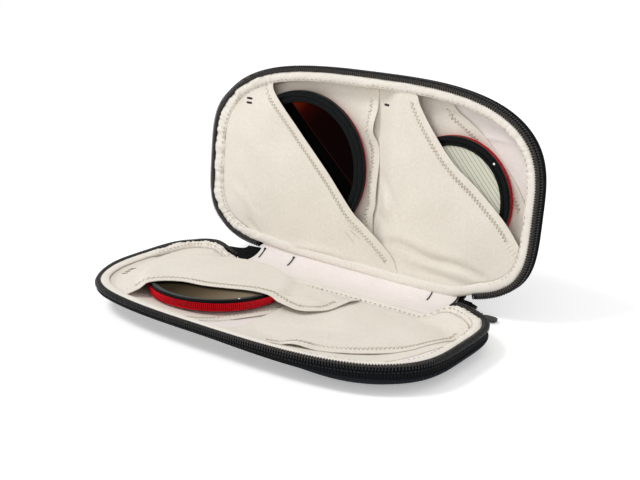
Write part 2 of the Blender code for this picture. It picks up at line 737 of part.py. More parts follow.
def make_spine(spine):
    cover_bottom = -FOLD_AXIS_HEIGHT
    cover_top = cover_bottom + SPINE_COVER_THICKNESS
    pad_bottom = cover_top + CLEARANCE
    pad_top = pad_bottom + SPINE_PAD_THICKNESS
    lining_bottom = pad_top + CLEARANCE
    lining_top = lining_bottom + SPINE_LINING_THICKNESS
    near, far = SPINE_FOLD_ROOM, SPINE_WIDTH - SPINE_FOLD_ROOM
    half_length = SPINE_HALF_LENGTH
    block("spine_cover", spine, "shell_fabric",
          (-half_length, near, cover_bottom), (half_length, far, cover_top))
    near_pad, far_pad = SPINE_PAD_INSET, SPINE_WIDTH - SPINE_PAD_INSET
    inner = half_length - SPINE_PAD_END_INSET
    block("spine_pad", spine, "board", (-inner, near_pad, pad_bottom), (inner, far_pad, pad_top))
    block("spine_lining", spine, "lining",
          (-half_length, near_pad, lining_bottom), (half_length, far_pad, lining_top))
    middle = SPINE_WIDTH / 2
    strap_top = cover_bottom - CLEARANCE
    tack_places = [share * half_length for share in TACK_PLACE_SHARES]
    strap_left, strap_right = min(tack_places) - STRAP_OVERHANG, max(tack_places) + STRAP_OVERHANG
    strap_middle = middle + STRAP_OVERHANG / 2
    block("spine_strap", spine, "tape",
          (strap_left, strap_middle - STRAP_WIDTH / 2, strap_top - STRAP_THICKNESS),
          (strap_right, strap_middle + STRAP_WIDTH / 2, strap_top))
    tack_bottom = lining_top + CLEARANCE
    for number, x in enumerate(tack_places, start=1):
        make_tack(f"spine_tack_{number}", spine, x, middle, tack_bottom)


def make_tack(name, spine, x, middle, bottom):
    """Bar of stitches across the spine with a knot at its far end."""
    half_width, half_length = TACK_WIDTH / 2, TACK_LENGTH / 2
    outline = [(x - half_width, middle - half_length), (x + half_width, middle - half_length)]
    knot = middle + half_length
    for turn_deg in (-60, 0, 60, 120, 180, 240):
        turn = radians(turn_deg)
        outline.append((x + TACK_KNOT_RADIUS * cos(turn), knot + TACK_KNOT_RADIUS * sin(turn)))
    rings = [[(px, py, z) for px, py in outline] for z in (bottom, bottom + TACK_THICKNESS)]
    add_object(name, spine, "thread", closed_mesh(name, rings, wrap=False))


def make_webs(spine):
    """Joined zip tape that closes the gap between the halves at each spine end."""
    start = SPINE_HALF_LENGTH + CLEARANCE
    for side, sign, length in (("left", -1, WEB_REACH), ("right", 1, STOP_LENGTH)):
        rings = []
        for out, inset in ((start, WEB_MARGIN), (start + length, WEB_END_MARGIN)):
            low, high = inset, SPINE_WIDTH - inset
            rings.append([(sign * out, low, -TAPE_THICKNESS / 2), (sign * out, high, -TAPE_THICKNESS / 2),
                          (sign * out, high, TAPE_THICKNESS / 2), (sign * out, low, TAPE_THICKNESS / 2)])
        add_object(f"zip_web_{side}", spine, "tape", closed_mesh("zip_web_" + side, rings, wrap=False))


def make_slider(spine):
    start = SPINE_HALF_LENGTH + STOP_LENGTH + 2 * CLEARANCE
    middle = SPINE_WIDTH / 2
    rings = []
    shoulder, heel = SLIDER_SHOULDER_SHARES
    nose = SLIDER_NOSE_SHARE
    for share, width_share in ((0.0, nose), (shoulder, 1.0), (heel, 1.0), (1.0, nose)):
        x = start + SLIDER_LENGTH * share
        wide, post = SLIDER_WIDTH / 2 * width_share, SLIDER_POST_WIDTH / 2
        low, high = -SLIDER_BOTTOM, SLIDER_TOP
        under, over = low + SLIDER_PLATE, high - SLIDER_PLATE
        profile = [(-wide, low), (wide, low), (wide, under), (post, under), (post, over), (wide, over),
                   (wide, high), (-wide, high), (-wide, over), (-post, over), (-post, under), (-wide, under)]
        rings.append([(x, middle + u, w) for u, w in profile])
    slider = add_object("zip_slider", spine, "slider", closed_mesh("zip_slider", rings, wrap=False))
    soften(slider, 30)
    staple_start = start + SLIDER_LENGTH + CLEARANCE
    bar_x = staple_start + STAPLE_LENGTH - STAPLE_WIRE / 2
    make_staple(spine, staple_start, middle)
    pull_axis = add_empty("zip_pull_axis", spine, (bar_x, middle, -STAPLE_DEPTH))
    make_pull(pull_axis)


def make_staple(spine, start, middle):
    """Flat wire loop on the slider's end that carries the pull."""
    outer, inner = STAPLE_WIDTH / 2, STAPLE_WIDTH / 2 - STAPLE_WIRE
    end = start + STAPLE_LENGTH
    outline = [(start, -outer), (end, -outer), (end, outer), (start, outer),
               (start, inner), (end - STAPLE_WIRE, inner), (end - STAPLE_WIRE, -inner), (start, -inner)]
    rings = []
    for z in (-STAPLE_DEPTH - STAPLE_WIRE / 2, -STAPLE_DEPTH + STAPLE_WIRE / 2):
        rings.append([(x, middle + u, z) for x, u in outline])
    add_object("zip_slider_staple", spine, "slider", closed_mesh("zip_slider_staple", rings, wrap=False))


def make_pull(axis):
    """Tab with an eye that turns on the staple's bar."""
    half_eye = PULL_EYE_WIDTH / 2
    sides = 12
    flat = PULL_THICKNESS / 2
    outline = []
    first = degrees(atan2(flat, PULL_EYE_RADIUS))
    for step in range(sides + 1):
        turn = radians(blend(first, 360 - first, step / sides))
        outline.append((PULL_EYE_RADIUS * cos(turn), PULL_EYE_RADIUS * sin(turn)))
    stub = PULL_EYE_RADIUS + PULL_THICKNESS
    outline += [(stub, -flat), (stub, flat)]
    eye = extrude_eye(outline, half_eye)
    turns = [2 * pi * step / sides for step in range(sides)]
    hole = [(PULL_EYE_HOLE * cos(turn), PULL_EYE_HOLE * sin(turn)) for turn in turns]
    cutter = extrude_eye(hole, half_eye + PULL_EYE_RADIUS)
    tab = tab_mesh(stub)
    pull = add_object("zip_pull", axis, "slider", eye)
    for name, mesh, operation in (("pull_tab", tab, "UNION"), ("pull_hole", cutter, "DIFFERENCE")):
        tool = bpy.data.objects.new(name, mesh)
        bpy.context.scene.collection.objects.link(tool)
        tool.parent = axis
        tool.hide_render = True
        tool.display_type = "WIRE"
        cut = pull.modifiers.new(name, "BOOLEAN")
        cut.operation = operation
        cut.object = tool


def extrude_eye(outline, half_width):
    rings = [[(x, u, z) for x, z in outline] for u in (-half_width, half_width)]
    return closed_mesh("eye", rings, wrap=False)


def tab_mesh(stub):
    """Tab outline in plan, rounded at its free end."""
    start = stub - PULL_THICKNESS / 2
    end = PULL_LENGTH - PULL_WIDTH / 2
    outline = [(start, -PULL_EYE_WIDTH / 2), (start + PULL_THICKNESS, -PULL_WIDTH / 2)]
    for turn_deg in (-90, -45, 0, 45, 90):
        turn = radians(turn_deg)
        outline.append((end + PULL_WIDTH / 2 * cos(turn), PULL_WIDTH / 2 * sin(turn)))
    outline += [(start + PULL_THICKNESS, PULL_WIDTH / 2), (start, PULL_EYE_WIDTH / 2)]
    thin = PULL_THICKNESS * PULL_TAB_SHARE / 2
    rings = [[(x, u, z) for x, u in outline] for z in (-thin, thin)]
    return closed_mesh("tab", rings, wrap=False)


# Assembly


def make_half(half, left_number, right_number):
    make_shell(half)
    make_board(half)
    make_lining(half)
    make_border(half)
    make_zip_side(half)
    make_pockets(half, left_number, right_number)


def half_frame(half, name, place, height, turn_deg=0.0):
    return add_empty(name, half.parent, half.place(place[0], place[1], height), turn_deg)


def main():
    clear_scene()
    base = Half("base", None, True, BASE_SPINE_BORDER_SHARE)
    make_half(base, 4, 3)
    spine = add_empty("spine_fold_axis", None, (0.0, FOLD_REACH, FOLD_AXIS_HEIGHT), SPINE_REST_DEG)
    make_spine(spine)
    make_webs(spine)
    make_slider(spine)
    lid_axis = add_empty("lid_fold_axis", spine, (0.0, SPINE_WIDTH, 0.0), LID_REST_DEG - SPINE_REST_DEG)
    lid = Half("lid", lid_axis, False, LID_SPINE_BORDER_SHARE)
    make_half(lid, 2, 1)
    large = half_frame(lid, "filter_2_frame", LARGE_FILTER_PLACE, FILTER_UNDERSIDE)
    make_filter("filter_2", large, LARGE_FILTER_RADIUS, LARGE_FILTER_DEPTH, "red_glass")
    small = half_frame(lid, "filter_1_frame", SMALL_FILTER_PLACE, FILTER_UNDERSIDE)
    make_filter("filter_1", small, SMALL_FILTER_RADIUS, SMALL_FILTER_DEPTH, "green_glass")
    lift = MIDDLE_FILTER_RADIUS * sin(radians(MIDDLE_FILTER_TILT_DEG))
    middle = half_frame(base, "filter_3_frame", MIDDLE_FILTER_PLACE, MIDDLE_FILTER_UNDERSIDE + lift,
                        -MIDDLE_FILTER_TILT_DEG)
    make_filter("filter_3", middle, MIDDLE_FILTER_RADIUS, MIDDLE_FILTER_DEPTH, "brown_glass")


main()
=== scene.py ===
"""Looks of the open filter case: soft cloth, zip coil, filters and a plain studio.

Metres, in the frame's own axes. Each half of the case is described in half
coordinates (x, v, h): x along the spine, v away from the spine, counted from the
middle of the rim outline, and h up from the half's outer face.
"""
import json
from math import cos, pi, radians, sin

import bmesh
import bpy
import numpy as np
from mathutils import Matrix, Vector


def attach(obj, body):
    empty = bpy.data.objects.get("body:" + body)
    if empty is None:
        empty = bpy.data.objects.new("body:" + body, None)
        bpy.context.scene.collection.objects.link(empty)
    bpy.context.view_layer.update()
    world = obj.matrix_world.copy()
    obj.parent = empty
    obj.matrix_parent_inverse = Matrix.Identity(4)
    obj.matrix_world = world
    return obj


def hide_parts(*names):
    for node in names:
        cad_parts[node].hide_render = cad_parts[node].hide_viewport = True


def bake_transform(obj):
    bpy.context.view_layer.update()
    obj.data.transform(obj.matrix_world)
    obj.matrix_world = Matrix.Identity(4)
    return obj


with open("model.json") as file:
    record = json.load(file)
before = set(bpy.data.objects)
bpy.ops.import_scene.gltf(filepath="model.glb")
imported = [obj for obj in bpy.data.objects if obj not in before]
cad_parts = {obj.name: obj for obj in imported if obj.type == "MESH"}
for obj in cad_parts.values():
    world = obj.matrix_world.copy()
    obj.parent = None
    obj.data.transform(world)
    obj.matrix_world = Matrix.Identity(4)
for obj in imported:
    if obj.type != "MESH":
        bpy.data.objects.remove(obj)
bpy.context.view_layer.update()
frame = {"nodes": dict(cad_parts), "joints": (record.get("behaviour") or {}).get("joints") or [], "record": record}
JOINTS = {joint["name"]: joint for joint in frame["joints"]}

# Rim outline
RIM_HALF_LENGTH = 0.1008
RIM_FRONT_REACH = 0.0546
RIM_BACK_REACH = 0.0512
RIM_FRONT_POWER = 3.03
RIM_BACK_POWER = 4.4
RIM_STEPS = 3600
SPINE_HALF_LENGTH = 0.0635
SPINE_TAPER_LEFT = (0.0560, 0.0800)
SPINE_TAPER_RIGHT = (0.0600, 0.0780)

# Shell and border
SHELL_BOTTOM = 0.0001
LINING_HEIGHT = 0.00345
COIL_FOOT = 0.0138
RIM_COLUMNS = 900
BORDER_ROWS = 30
BORDER_COLUMNS = 1300

# Zip
TOOTH_PITCH = 0.00130
TOOTH_RADIUS = 0.00038
ZIP_END_LEFT = 0.0665
ZIP_END_RIGHT = 0.0740
LEFT_END_SWING = 0.0045
STITCH_PITCH = 0.0017
ZIP_SINK = {"base": 0.0085, "lid": 0.0030}

# Cloth
CLOTH_THICKNESS = 0.0005
HEM_WIDTH = 0.0052
HEM_STEP = 0.00022
ZIGZAG_NEAR = 0.0031
ZIGZAG_FAR = 0.0057
ZIGZAG_PITCH = 0.0020
THREAD_RADIUS = 0.00022
PUCKER_FROM_EDGE = 0.0045
PUCKER_WIDTH = 0.0020
PUCKER_DEPTH = 0.00022
BACK_SEAM_HEIGHT = 0.0044
BACK_LEVEL = 0.0042
BACK_ROOM = 0.0005
FRONT_ROOM = 0.0011
FRONT_HEAD = 0.0010
BACK_HEAD = 0.0200
EDGE_STEPS = 90
SEAM_STEPS = 240
TALLY_BAR_HEIGHT = 0.0013

# Filters
MIDDLE_TILT_DEG = 1.6
GLASS_LINE_PITCH = 0.0019
BASE_FILTER_RADIUS = 0.0350
BASE_FILTER_DEPTH = 0.0060
RING_STEPS = 660
KNURL_COUNT = 220
KNURL_DEPTH = 0.00042

# Camera, as the photograph was taken, for a picture 640 wide and 480 high
PICTURE_WIDTH = 640.0
CAMERA_AZIMUTH_DEG = 35.46
CAMERA_ELEVATION_DEG = 17.42
CAMERA_ROLL_DEG = 1.66
CAMERA_DISTANCE = 0.55784
CAMERA_TARGET = (-0.01277, 0.04715, 0.02653)
CAMERA_FOCAL_PX = 1048.2
CAMERA_SHIFT_PX = (-9.35, 3.06)
SENSOR_WIDTH = 36.0

# Light
WORLD_FILL = 0.72
FLOOR_GLOW = 0.32
FLOOR_HALF_SIZE = 3.0


# Small helpers


def smooth_step(low, high, value):
    share = np.clip((value - low) / (high - low), 0.0, 1.0)
    return share * share * (3.0 - 2.0 * share)


def curve_through(points, count, closed=False):
    """Smooth run of points through the given ones, at equal steps along it."""
    points = np.asarray(points, float)
    if closed:
        points = np.concatenate([points[-1:], points, points[:2]])
    else:
        points = np.concatenate([2 * points[:1] - points[1:2], points, 2 * points[-1:] - points[-2:-1]])
    fine = []
    for a, b, c, d in zip(points, points[1:], points[2:], points[3:]):
        for t in np.linspace(0.0, 1.0, 16, endpoint=False):
            fine.append(0.5 * (2 * b + (c - a) * t + (2 * a - 5 * b + 4 * c - d) * t ** 2
                               + (3 * b - a - 3 * c + d) * t ** 3))
    fine.append(points[-2])
    return spaced(np.array(fine), count)


def spaced(points, count):
    """The same run of points, at equal steps along its length."""
    along = np.concatenate([[0.0], np.cumsum(np.linalg.norm(np.diff(points, axis=0), axis=1))])
    wanted = np.linspace(0.0, along[-1], count)
    return np.stack([np.interp(wanted, along, points[:, axis]) for axis in range(points.shape[1])], axis=-1)


def left_of(points):
    """Unit vectors square to a run of flat points, to the left of its direction."""
    along = np.gradient(points, axis=0)
    along /= np.linalg.norm(along, axis=1)[:, None]
    return np.stack([-along[:, 1], along[:, 0]], axis=-1)


def gap_to(x, v, run):
    """Least distance from each (x, v) to a run of points."""
    flat = np.stack([np.ravel(x), np.ravel(v)], axis=-1)
    nearest = np.full(len(flat), np.inf)
    for start, end in zip(run, run[1:]):
        edge = end - start
        share = np.clip(((flat - start) @ edge) / max(edge @ edge, 1e-12), 0.0, 1.0)
        nearest = np.minimum(nearest, np.linalg.norm(flat - start - share[:, None] * edge, axis=1))
    return nearest.reshape(np.shape(x))


class Ripples:
    """Soft unevenness: a sum of seeded waves with wavelengths near a given size."""

    def __init__(self, seed, size, count=14):
        rng = np.random.default_rng(seed)
        turn = rng.uniform(0, 2 * pi, count)
        pace = 2 * pi / (size * rng.uniform(0.6, 1.8, count))
        self.pace = np.stack([np.cos(turn) * pace, np.sin(turn) * pace])
        self.start = rng.uniform(0, 2 * pi, count)

    def at(self, x, v):
        phase = np.stack([np.asarray(x, float), np.asarray(v, float)], axis=-1) @ self.pace + self.start
        return np.sin(phase).sum(axis=-1) / len(self.start) ** 0.5


# Rim outline


def rim_tables():
    """Points of the rim outline at equal steps, their outward directions, and its length."""
    turn = np.linspace(-pi / 2, 3 * pi / 2, 20 * RIM_STEPS + 1)
    across, along = np.cos(turn), np.sin(turn)
    power = np.where(along > 0, RIM_FRONT_POWER, RIM_BACK_POWER)
    reach = np.where(along > 0, RIM_FRONT_REACH, RIM_BACK_REACH)
    x = RIM_HALF_LENGTH * np.sign(across) * np.abs(across) ** (2 / power)
    v = reach * np.sign(along) * np.abs(along) ** (2 / power)
    points = spaced(np.stack([x, v], axis=-1), RIM_STEPS + 1)
    length = np.linalg.norm(np.diff(points, axis=0), axis=1).sum()
    ahead, behind = np.roll(points[:-1], -4, axis=0), np.roll(points[:-1], 4, axis=0)
    along = (ahead - behind) / np.linalg.norm(ahead - behind, axis=1)[:, None]
    outward = np.stack([along[:, 1], -along[:, 0]], axis=-1)
    return points, np.concatenate([outward, outward[:1]]), length


RIM_POINTS, RIM_OUTWARD, RIM_LENGTH = rim_tables()


def rim_at(s, grow):
    """(x, v) at length s along the rim from the spine's middle, grown outwards."""
    place = (np.asarray(s, float) % RIM_LENGTH) / RIM_LENGTH * RIM_STEPS
    low = np.minimum(place.astype(int), RIM_STEPS - 1)
    share = (place - low)[..., None]
    point = RIM_POINTS[low] * (1 - share) + RIM_POINTS[low + 1] * share
    outward = RIM_OUTWARD[low] * (1 - share) + RIM_OUTWARD[low + 1] * share
    flat = point + outward * np.asarray(grow, float)[..., None]
    return flat[..., 0], flat[..., 1]


def rim_s(x, v):
    """Length along the rim of the place nearest to a point."""
    gaps = np.linalg.norm(RIM_POINTS[:-1] - np.array([x, v]), axis=1)
    return RIM_LENGTH * np.argmin(gaps) / RIM_STEPS


def spine_weight(x, v):
    """1 where the rim runs along the spine, 0 where it has its full wall."""
    start = np.where(x < 0, SPINE_TAPER_LEFT[0], SPINE_TAPER_RIGHT[0])
    end = np.where(x < 0, SPINE_TAPER_LEFT[1], SPINE_TAPER_RIGHT[1])
    near = 1.0 - smooth_step(0.0, 1.0, (np.abs(x) - start) / (end - start))
    return np.where(v < 0, near, 0.0)


# Halves


class Half:
    """One half of the case, with its way from half coordinates to the frame.

    seam_wall and seam_spine are the seam's (grow, height) along the wall and the spine.
    ends are the left and the right end's (shift outwards, x where it starts).
    """

    def __init__(self, body, origin, along, inward, seam_wall, seam_spine, ends=((0.0, 0.09), (0.0, 0.09))):
        self.body = body
        self.ends = ends
        self.origin = np.array(origin)
        self.along = np.array(along)
        self.inward = np.array(inward)
        self.seam_wall = seam_wall
        self.seam_spine = seam_spine

    def place(self, x, v, h):
        x, v, h = np.broadcast_arrays(x, v, h)
        across = np.array([1.0, 0.0, 0.0])
        for side, (shift, start) in zip((-1.0, 1.0), self.ends):
            x = x + shift * smooth_step(start, RIM_HALF_LENGTH, side * x)
        if self.body == "base":
            v = v - LEFT_END_SWING * smooth_step(0.066, RIM_HALF_LENGTH, -x)
        return self.origin + x[..., None] * across + v[..., None] * self.along + h[..., None] * self.inward

    def seam(self, s):
        """(grow, height) of the seam between border and pockets at length s."""
        x, v = rim_at(s, np.zeros_like(s))
        share = spine_weight(x, v)
        wall, spine = self.seam_wall, self.seam_spine
        return wall[0] + (spine[0] - wall[0]) * share, wall[1] + (spine[1] - wall[1]) * share


def lid_half():
    """The standing half, placed from its fold and the direction of its filters' axis."""
    fold = np.array(JOINTS["lid_fold"]["pos_m"])
    reach = JOINTS["spine_fold"]["pos_m"][1]
    lift = JOINTS["spine_fold"]["pos_m"][2]
    inward = np.array(JOINTS["filter_2_turn"]["axis"])
    inward /= np.linalg.norm(inward)
    along = np.cross(inward, [1.0, 0.0, 0.0])
    origin = fold + reach * along - lift * inward
    return Half("lid", origin, along, inward, seam_wall=(-0.0060, 0.0117), seam_spine=(-0.0022, 0.0126),
                ends=((-0.0018, 0.0910), (0.0002, 0.0880)))


BASE = Half("base", origin=(0.0, 0.0, 0.0), along=(0.0, -1.0, 0.0), inward=(0.0, 0.0, 1.0),
            seam_wall=(-0.0064, 0.0105), seam_spine=(-0.0125, 0.0047),
            ends=((0.0050, 0.0770), (0.0012, 0.0880)))
LID = lid_half()


# Meshes


def new_mesh(name, points, faces, body, material, replaced=(), uv=None, smooth=True):
    """A finished piece that rides on a body; uv holds one (u, v) per point."""
    mesh = bpy.data.meshes.new(name)
    mesh.from_pydata([tuple(p) for p in np.asarray(points).reshape(-1, 3)], [], faces)
    mesh.validate()
    if uv is not None:
        layer = mesh.uv_layers.new(name="UVMap")
        corners = np.zeros(len(mesh.loops), int)
        mesh.loops.foreach_get("vertex_index", corners)
        layer.data.foreach_set("uv", np.asarray(uv, np.float32).reshape(-1, 2)[corners].ravel())
    mesh.polygons.foreach_set("use_smooth", [smooth] * len(mesh.polygons))
    piece = bpy.data.objects.new(name, mesh)
    bpy.context.scene.collection.objects.link(piece)
    mesh.materials.append(material)
    if body:
        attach(piece, body)
    if replaced:
        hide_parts(*replaced)
    return piece


def grid_faces(rows, columns, wrap_rows=False, wrap_columns=False):
    """Four-sided faces of a grid of points stored row by row."""
    faces = []
    for row in range(rows if wrap_rows else rows - 1):
        after_row = (row + 1) % rows
        for column in range(columns if wrap_columns else columns - 1):
            after = (column + 1) % columns
            faces.append((row * columns + column, row * columns + after,
                          after_row * columns + after, after_row * columns + column))
    return faces


def tube_faces(rows, columns):
    """Faces of a closed section carried along a run, shut at both its ends."""
    faces = grid_faces(rows, columns, wrap_rows=True)
    faces.append(tuple(row * columns for row in range(rows)))
    faces.append(tuple(row * columns + columns - 1 for row in range(rows - 1, -1, -1)))
    return faces


def sheet_faces(rows, columns):
    """Faces of a sheet stored as its top grid and then its bottom one, shut round the edge."""
    count = rows * columns
    faces = grid_faces(rows, columns)
    faces += [tuple(count + i for i in face[::-1]) for face in faces]
    edge = list(range(columns)) + [row * columns + columns - 1 for row in range(1, rows)]
    edge += [count - 1 - column for column in range(1, columns)]
    edge += [row * columns for row in range(rows - 2, 0, -1)]
    return faces + [(b, a, count + a, count + b) for a, b in zip(edge, edge[1:] + edge[:1])]


def facing_out(piece):
    """Turns a closed mesh's faces outwards."""
    bm = bmesh.new()
    bm.from_mesh(piece.data)
    bmesh.ops.recalc_face_normals(bm, faces=bm.faces)
    bm.to_mesh(piece.data)
    bm.free()
    return piece


def cloth(name, half, x, v, h, body, material, replaced=(), thickness=CLOTH_THICKNESS, rounded=True):
    """Sheet over a grid of places in a half; its last row is the free, rounded edge."""
    if rounded:
        out_x, out_v = x[-1] - x[-2], v[-1] - v[-2]
        size = np.maximum(np.hypot(out_x, out_v), 1e-9)
        lips = []
        for out, share in ((0.25, 0.92), (0.45, 0.6), (0.5, 0.1)):
            step = out * thickness / size
            lips.append((x[-1] + out_x * step, v[-1] + out_v * step, h[-1], share))
    else:
        lips = []
    full = np.ones(x.shape)
    for lip in lips:
        x, v, h = np.vstack([x, lip[0]]), np.vstack([v, lip[1]]), np.vstack([h, lip[2]])
        full = np.vstack([full, np.full(x.shape[1], lip[3])])
    middle = h + thickness / 2
    top = half.place(x, v, middle + full * thickness / 2)
    bottom = half.place(x, v, middle - full * thickness / 2)
    points = np.concatenate([top.reshape(-1, 3), bottom.reshape(-1, 3)])
    uv = np.stack([np.ravel(x), np.ravel(v)], axis=-1)
    return facing_out(new_mesh(name, points, sheet_faces(*x.shape), body, material, replaced,
                               np.concatenate([uv, uv])))


def stitches(name, starts, ends, ups, radius, body, material, slot="thread"):
    """One mesh of short threads, each from a start to an end, bulging upwards."""
    starts, ends, ups = (np.asarray(a, float).reshape(-1, 3) for a in (starts, ends, ups))
    along = ends - starts
    sides = np.cross(along, ups)
    sides /= np.maximum(np.linalg.norm(sides, axis=1), 1e-12)[:, None]
    points, faces = [], []
    for start, end, up, side in zip(starts, ends, ups, sides):
        first = len(points)
        run = end - start
        points.append(start)
        for share in (0.22, 0.78):
            middle = start + run * share + up * radius * 0.5
            for turn in range(6):
                angle = 2 * pi * turn / 6
                points.append(middle + side * radius * cos(angle) + up * radius * sin(angle))
        points.append(end)
        for turn in range(6):
            a, b = first + 1 + turn, first + 1 + (turn + 1) % 6
            faces += [(first, b, a), (a, b, b + 6, a + 6), (first + 13, a + 6, b + 6)]
    return new_mesh(name, points, faces, body, material)


# Materials


VECTOR, COLOUR, VALUE = "NodeSocketVector", "NodeSocketColor", "NodeSocketFloat"


def new_material(name, roughness, specular, sheen=0.0, metallic=0.0):
    made = bpy.data.materials.new(name)
    made.use_nodes = True
    shader = made.node_tree.nodes["Principled BSDF"]
    for socket, value in (("Roughness", roughness), ("Specular IOR Level", specular), ("Sheen Weight", sheen),
                          ("Metallic", metallic)):
        shader.inputs[socket].default_value = value
    return made


class Nodes:
    """Short way to add and link nodes in a material's tree or a group's."""

    def __init__(self, tree):
        self.tree = tree
        self.shader = tree.nodes.get("Principled BSDF")

    def add(self, kind, **values):
        node = self.tree.nodes.new(kind)
        for name, value in values.items():
            setattr(node, name, value)
        return node

    def feed(self, socket, value):
        """Links an output to a socket, or writes a number or a colour into it."""
        if isinstance(value, bpy.types.NodeSocket):
            self.tree.links.new(value, socket)
        elif socket.type == "RGBA":
            socket.default_value = (*value, 1.0)
        else:
            socket.default_value = value

    def finish(self, socket, value):
        self.feed(self.shader.inputs[socket], value)

    def coordinates(self, which):
        return self.add("ShaderNodeTexCoord").outputs[which]

    def noise(self, where, scale, detail):
        node = self.add("ShaderNodeTexNoise")
        for socket, value in (("Vector", where), ("Scale", scale), ("Detail", detail)):
            self.feed(node.inputs[socket], value)
        return node.outputs["Fac"]

    def wave(self, where, scale, direction, distortion):
        node = self.add("ShaderNodeTexWave", bands_direction=direction)
        for socket, value in (("Vector", where), ("Scale", scale), ("Distortion", distortion)):
            self.feed(node.inputs[socket], value)
        return node.outputs["Fac"]

    def math(self, operation, first, second=0.0, clamped=False):
        node = self.add("ShaderNodeMath", operation=operation, use_clamp=clamped)
        self.feed(node.inputs[0], first)
        self.feed(node.inputs[1], second)
        return node.outputs[0]

    def weighted(self, *parts):
        """Sum of (output, share) pairs, each output times its share."""
        shares = [self.math("MULTIPLY", value, share) for value, share in parts]
        total = shares[0]
        for part in shares[1:]:
            total = self.math("ADD", total, part)
        return total

    def between(self, value, low, high, low_at=0.0, high_at=1.0):
        """Number from low to high as a value goes from one place to another."""
        node = self.add("ShaderNodeMapRange")
        for socket, number in (("Value", value), ("From Min", low_at), ("From Max", high_at),
                               ("To Min", low), ("To Max", high)):
            self.feed(node.inputs[socket], number)
        return node.outputs[0]

    def mix(self, share, first, second):
        """Colour between two, each a colour or an output."""
        node = self.add("ShaderNodeMix", data_type="RGBA")
        for socket, value in (("Factor", share), ("A", first), ("B", second)):
            self.feed(node.inputs[socket], value)
        return node.outputs["Result"]

    def shaded(self, tone, dark, pale):
        """Colour from dark to pale over the middle of a tone's range."""
        return self.mix(self.between(tone, 0.0, 1.0, 0.3, 0.7), dark, pale)

    def ramp(self, factor, stops):
        node = self.add("ShaderNodeValToRGB")
        elements = node.color_ramp.elements
        while len(elements) < len(stops):
            elements.new(0.5)
        for element, (place, colour) in zip(elements, stops):
            element.position = place
            element.color = (*colour, 1.0)
        self.feed(node.inputs[0], factor)
        return node.outputs[0]

    def bump(self, height, strength, distance):
        node = self.add("ShaderNodeBump")
        for socket, value in (("Height", height), ("Strength", strength), ("Distance", distance)):
            self.feed(node.inputs[socket], value)
        self.finish("Normal", node.outputs[0])

    def effect(self, group, **values):
        """A shared effect, placed with this material's own values."""
        node = self.add("ShaderNodeGroup", node_tree=group)
        for name, value in values.items():
            self.feed(node.inputs[name.replace("_", " ").title()], value)
        return node.outputs


def new_group(name, inputs, outputs):
    """Empty shader group with named sockets: its nodes, what it is given and what it puts out."""
    tree = bpy.data.node_groups.new(name, "ShaderNodeTree")
    for side, sockets in (("INPUT", inputs), ("OUTPUT", outputs)):
        for label, kind in sockets.items():
            tree.interface.new_socket(label, in_out=side, socket_type=kind)
    nodes = Nodes(tree)
    return nodes, nodes.add("NodeGroupInput").outputs, nodes.add("NodeGroupOutput").inputs


def brushed_nap():
    """Fine nap over a faint weave, with soft mottling and slow colour drift."""
    nodes, given, out = new_group("brushed_nap", {
        "Place": VECTOR, "Dark": COLOUR, "Pale": COLOUR, "Nap Scale": VALUE, "Weave Scale": VALUE,
        "Mottle Scale": VALUE, "Drift Scale": VALUE}, {"Colour": COLOUR, "Height": VALUE})
    nap = nodes.noise(given["Place"], given["Nap Scale"], 3.0)
    weave = nodes.wave(given["Place"], given["Weave Scale"], "DIAGONAL", 1.5)
    drift = nodes.noise(given["Place"], given["Drift Scale"], 3.0)
    mottle = nodes.noise(given["Place"], given["Mottle Scale"], 4.0)
    tone = nodes.weighted((drift, 0.35), (mottle, 0.45), (nap, 0.2))
    nodes.feed(out["Colour"], nodes.shaded(tone, given["Dark"], given["Pale"]))
    nodes.feed(out["Height"], nodes.weighted((nap, 1.0), (weave, 0.35), (mottle, 1.6)))
    return nodes.tree


def ribbed_weave():
    """Upright ribs crossed by rows, with loose fibre over them."""
    nodes, given, out = new_group("ribbed_weave", {
        "Place": VECTOR, "Dark": COLOUR, "Pale": COLOUR, "Rib Scale": VALUE, "Rib Wobble": VALUE,
        "Row Wobble": VALUE, "Row Share": VALUE, "Fibre Scale": VALUE, "Fibre Share": VALUE,
        "Weave Height": VALUE, "Fibre Height": VALUE}, {"Colour": COLOUR, "Height": VALUE})
    ribs = nodes.wave(given["Place"], given["Rib Scale"], "X", given["Rib Wobble"])
    rows = nodes.wave(given["Place"], given["Rib Scale"], "Y", given["Row Wobble"])
    fibre = nodes.noise(given["Place"], given["Fibre Scale"], 2.0)
    rib_share = nodes.math("SUBTRACT", 1.0, given["Row Share"])
    weave_share = nodes.math("SUBTRACT", 1.0, given["Fibre Share"])
    weave = nodes.weighted((ribs, rib_share), (rows, given["Row Share"]))
    tone = nodes.weighted((weave, weave_share), (fibre, given["Fibre Share"]))
    nodes.feed(out["Colour"], nodes.shaded(tone, given["Dark"], given["Pale"]))
    nodes.feed(out["Height"], nodes.weighted((weave, given["Weave Height"]), (fibre, given["Fibre Height"])))
    return nodes.tree


def fine_grain():
    """Fine unevenness of nylon, lacquer, anodised metal and thread."""
    nodes, given, out = new_group("fine_grain", {
        "Place": VECTOR, "Dark": COLOUR, "Pale": COLOUR, "Grain Scale": VALUE, "Grain Detail": VALUE,
        "Smoothest": VALUE, "Roughest": VALUE}, {"Colour": COLOUR, "Roughness": VALUE, "Height": VALUE})
    grain = nodes.noise(given["Place"], given["Grain Scale"], given["Grain Detail"])
    nodes.feed(out["Colour"], nodes.shaded(grain, given["Dark"], given["Pale"]))
    nodes.feed(out["Roughness"], nodes.between(grain, given["Smoothest"], given["Roughest"]))
    nodes.feed(out["Height"], grain)
    return nodes.tree


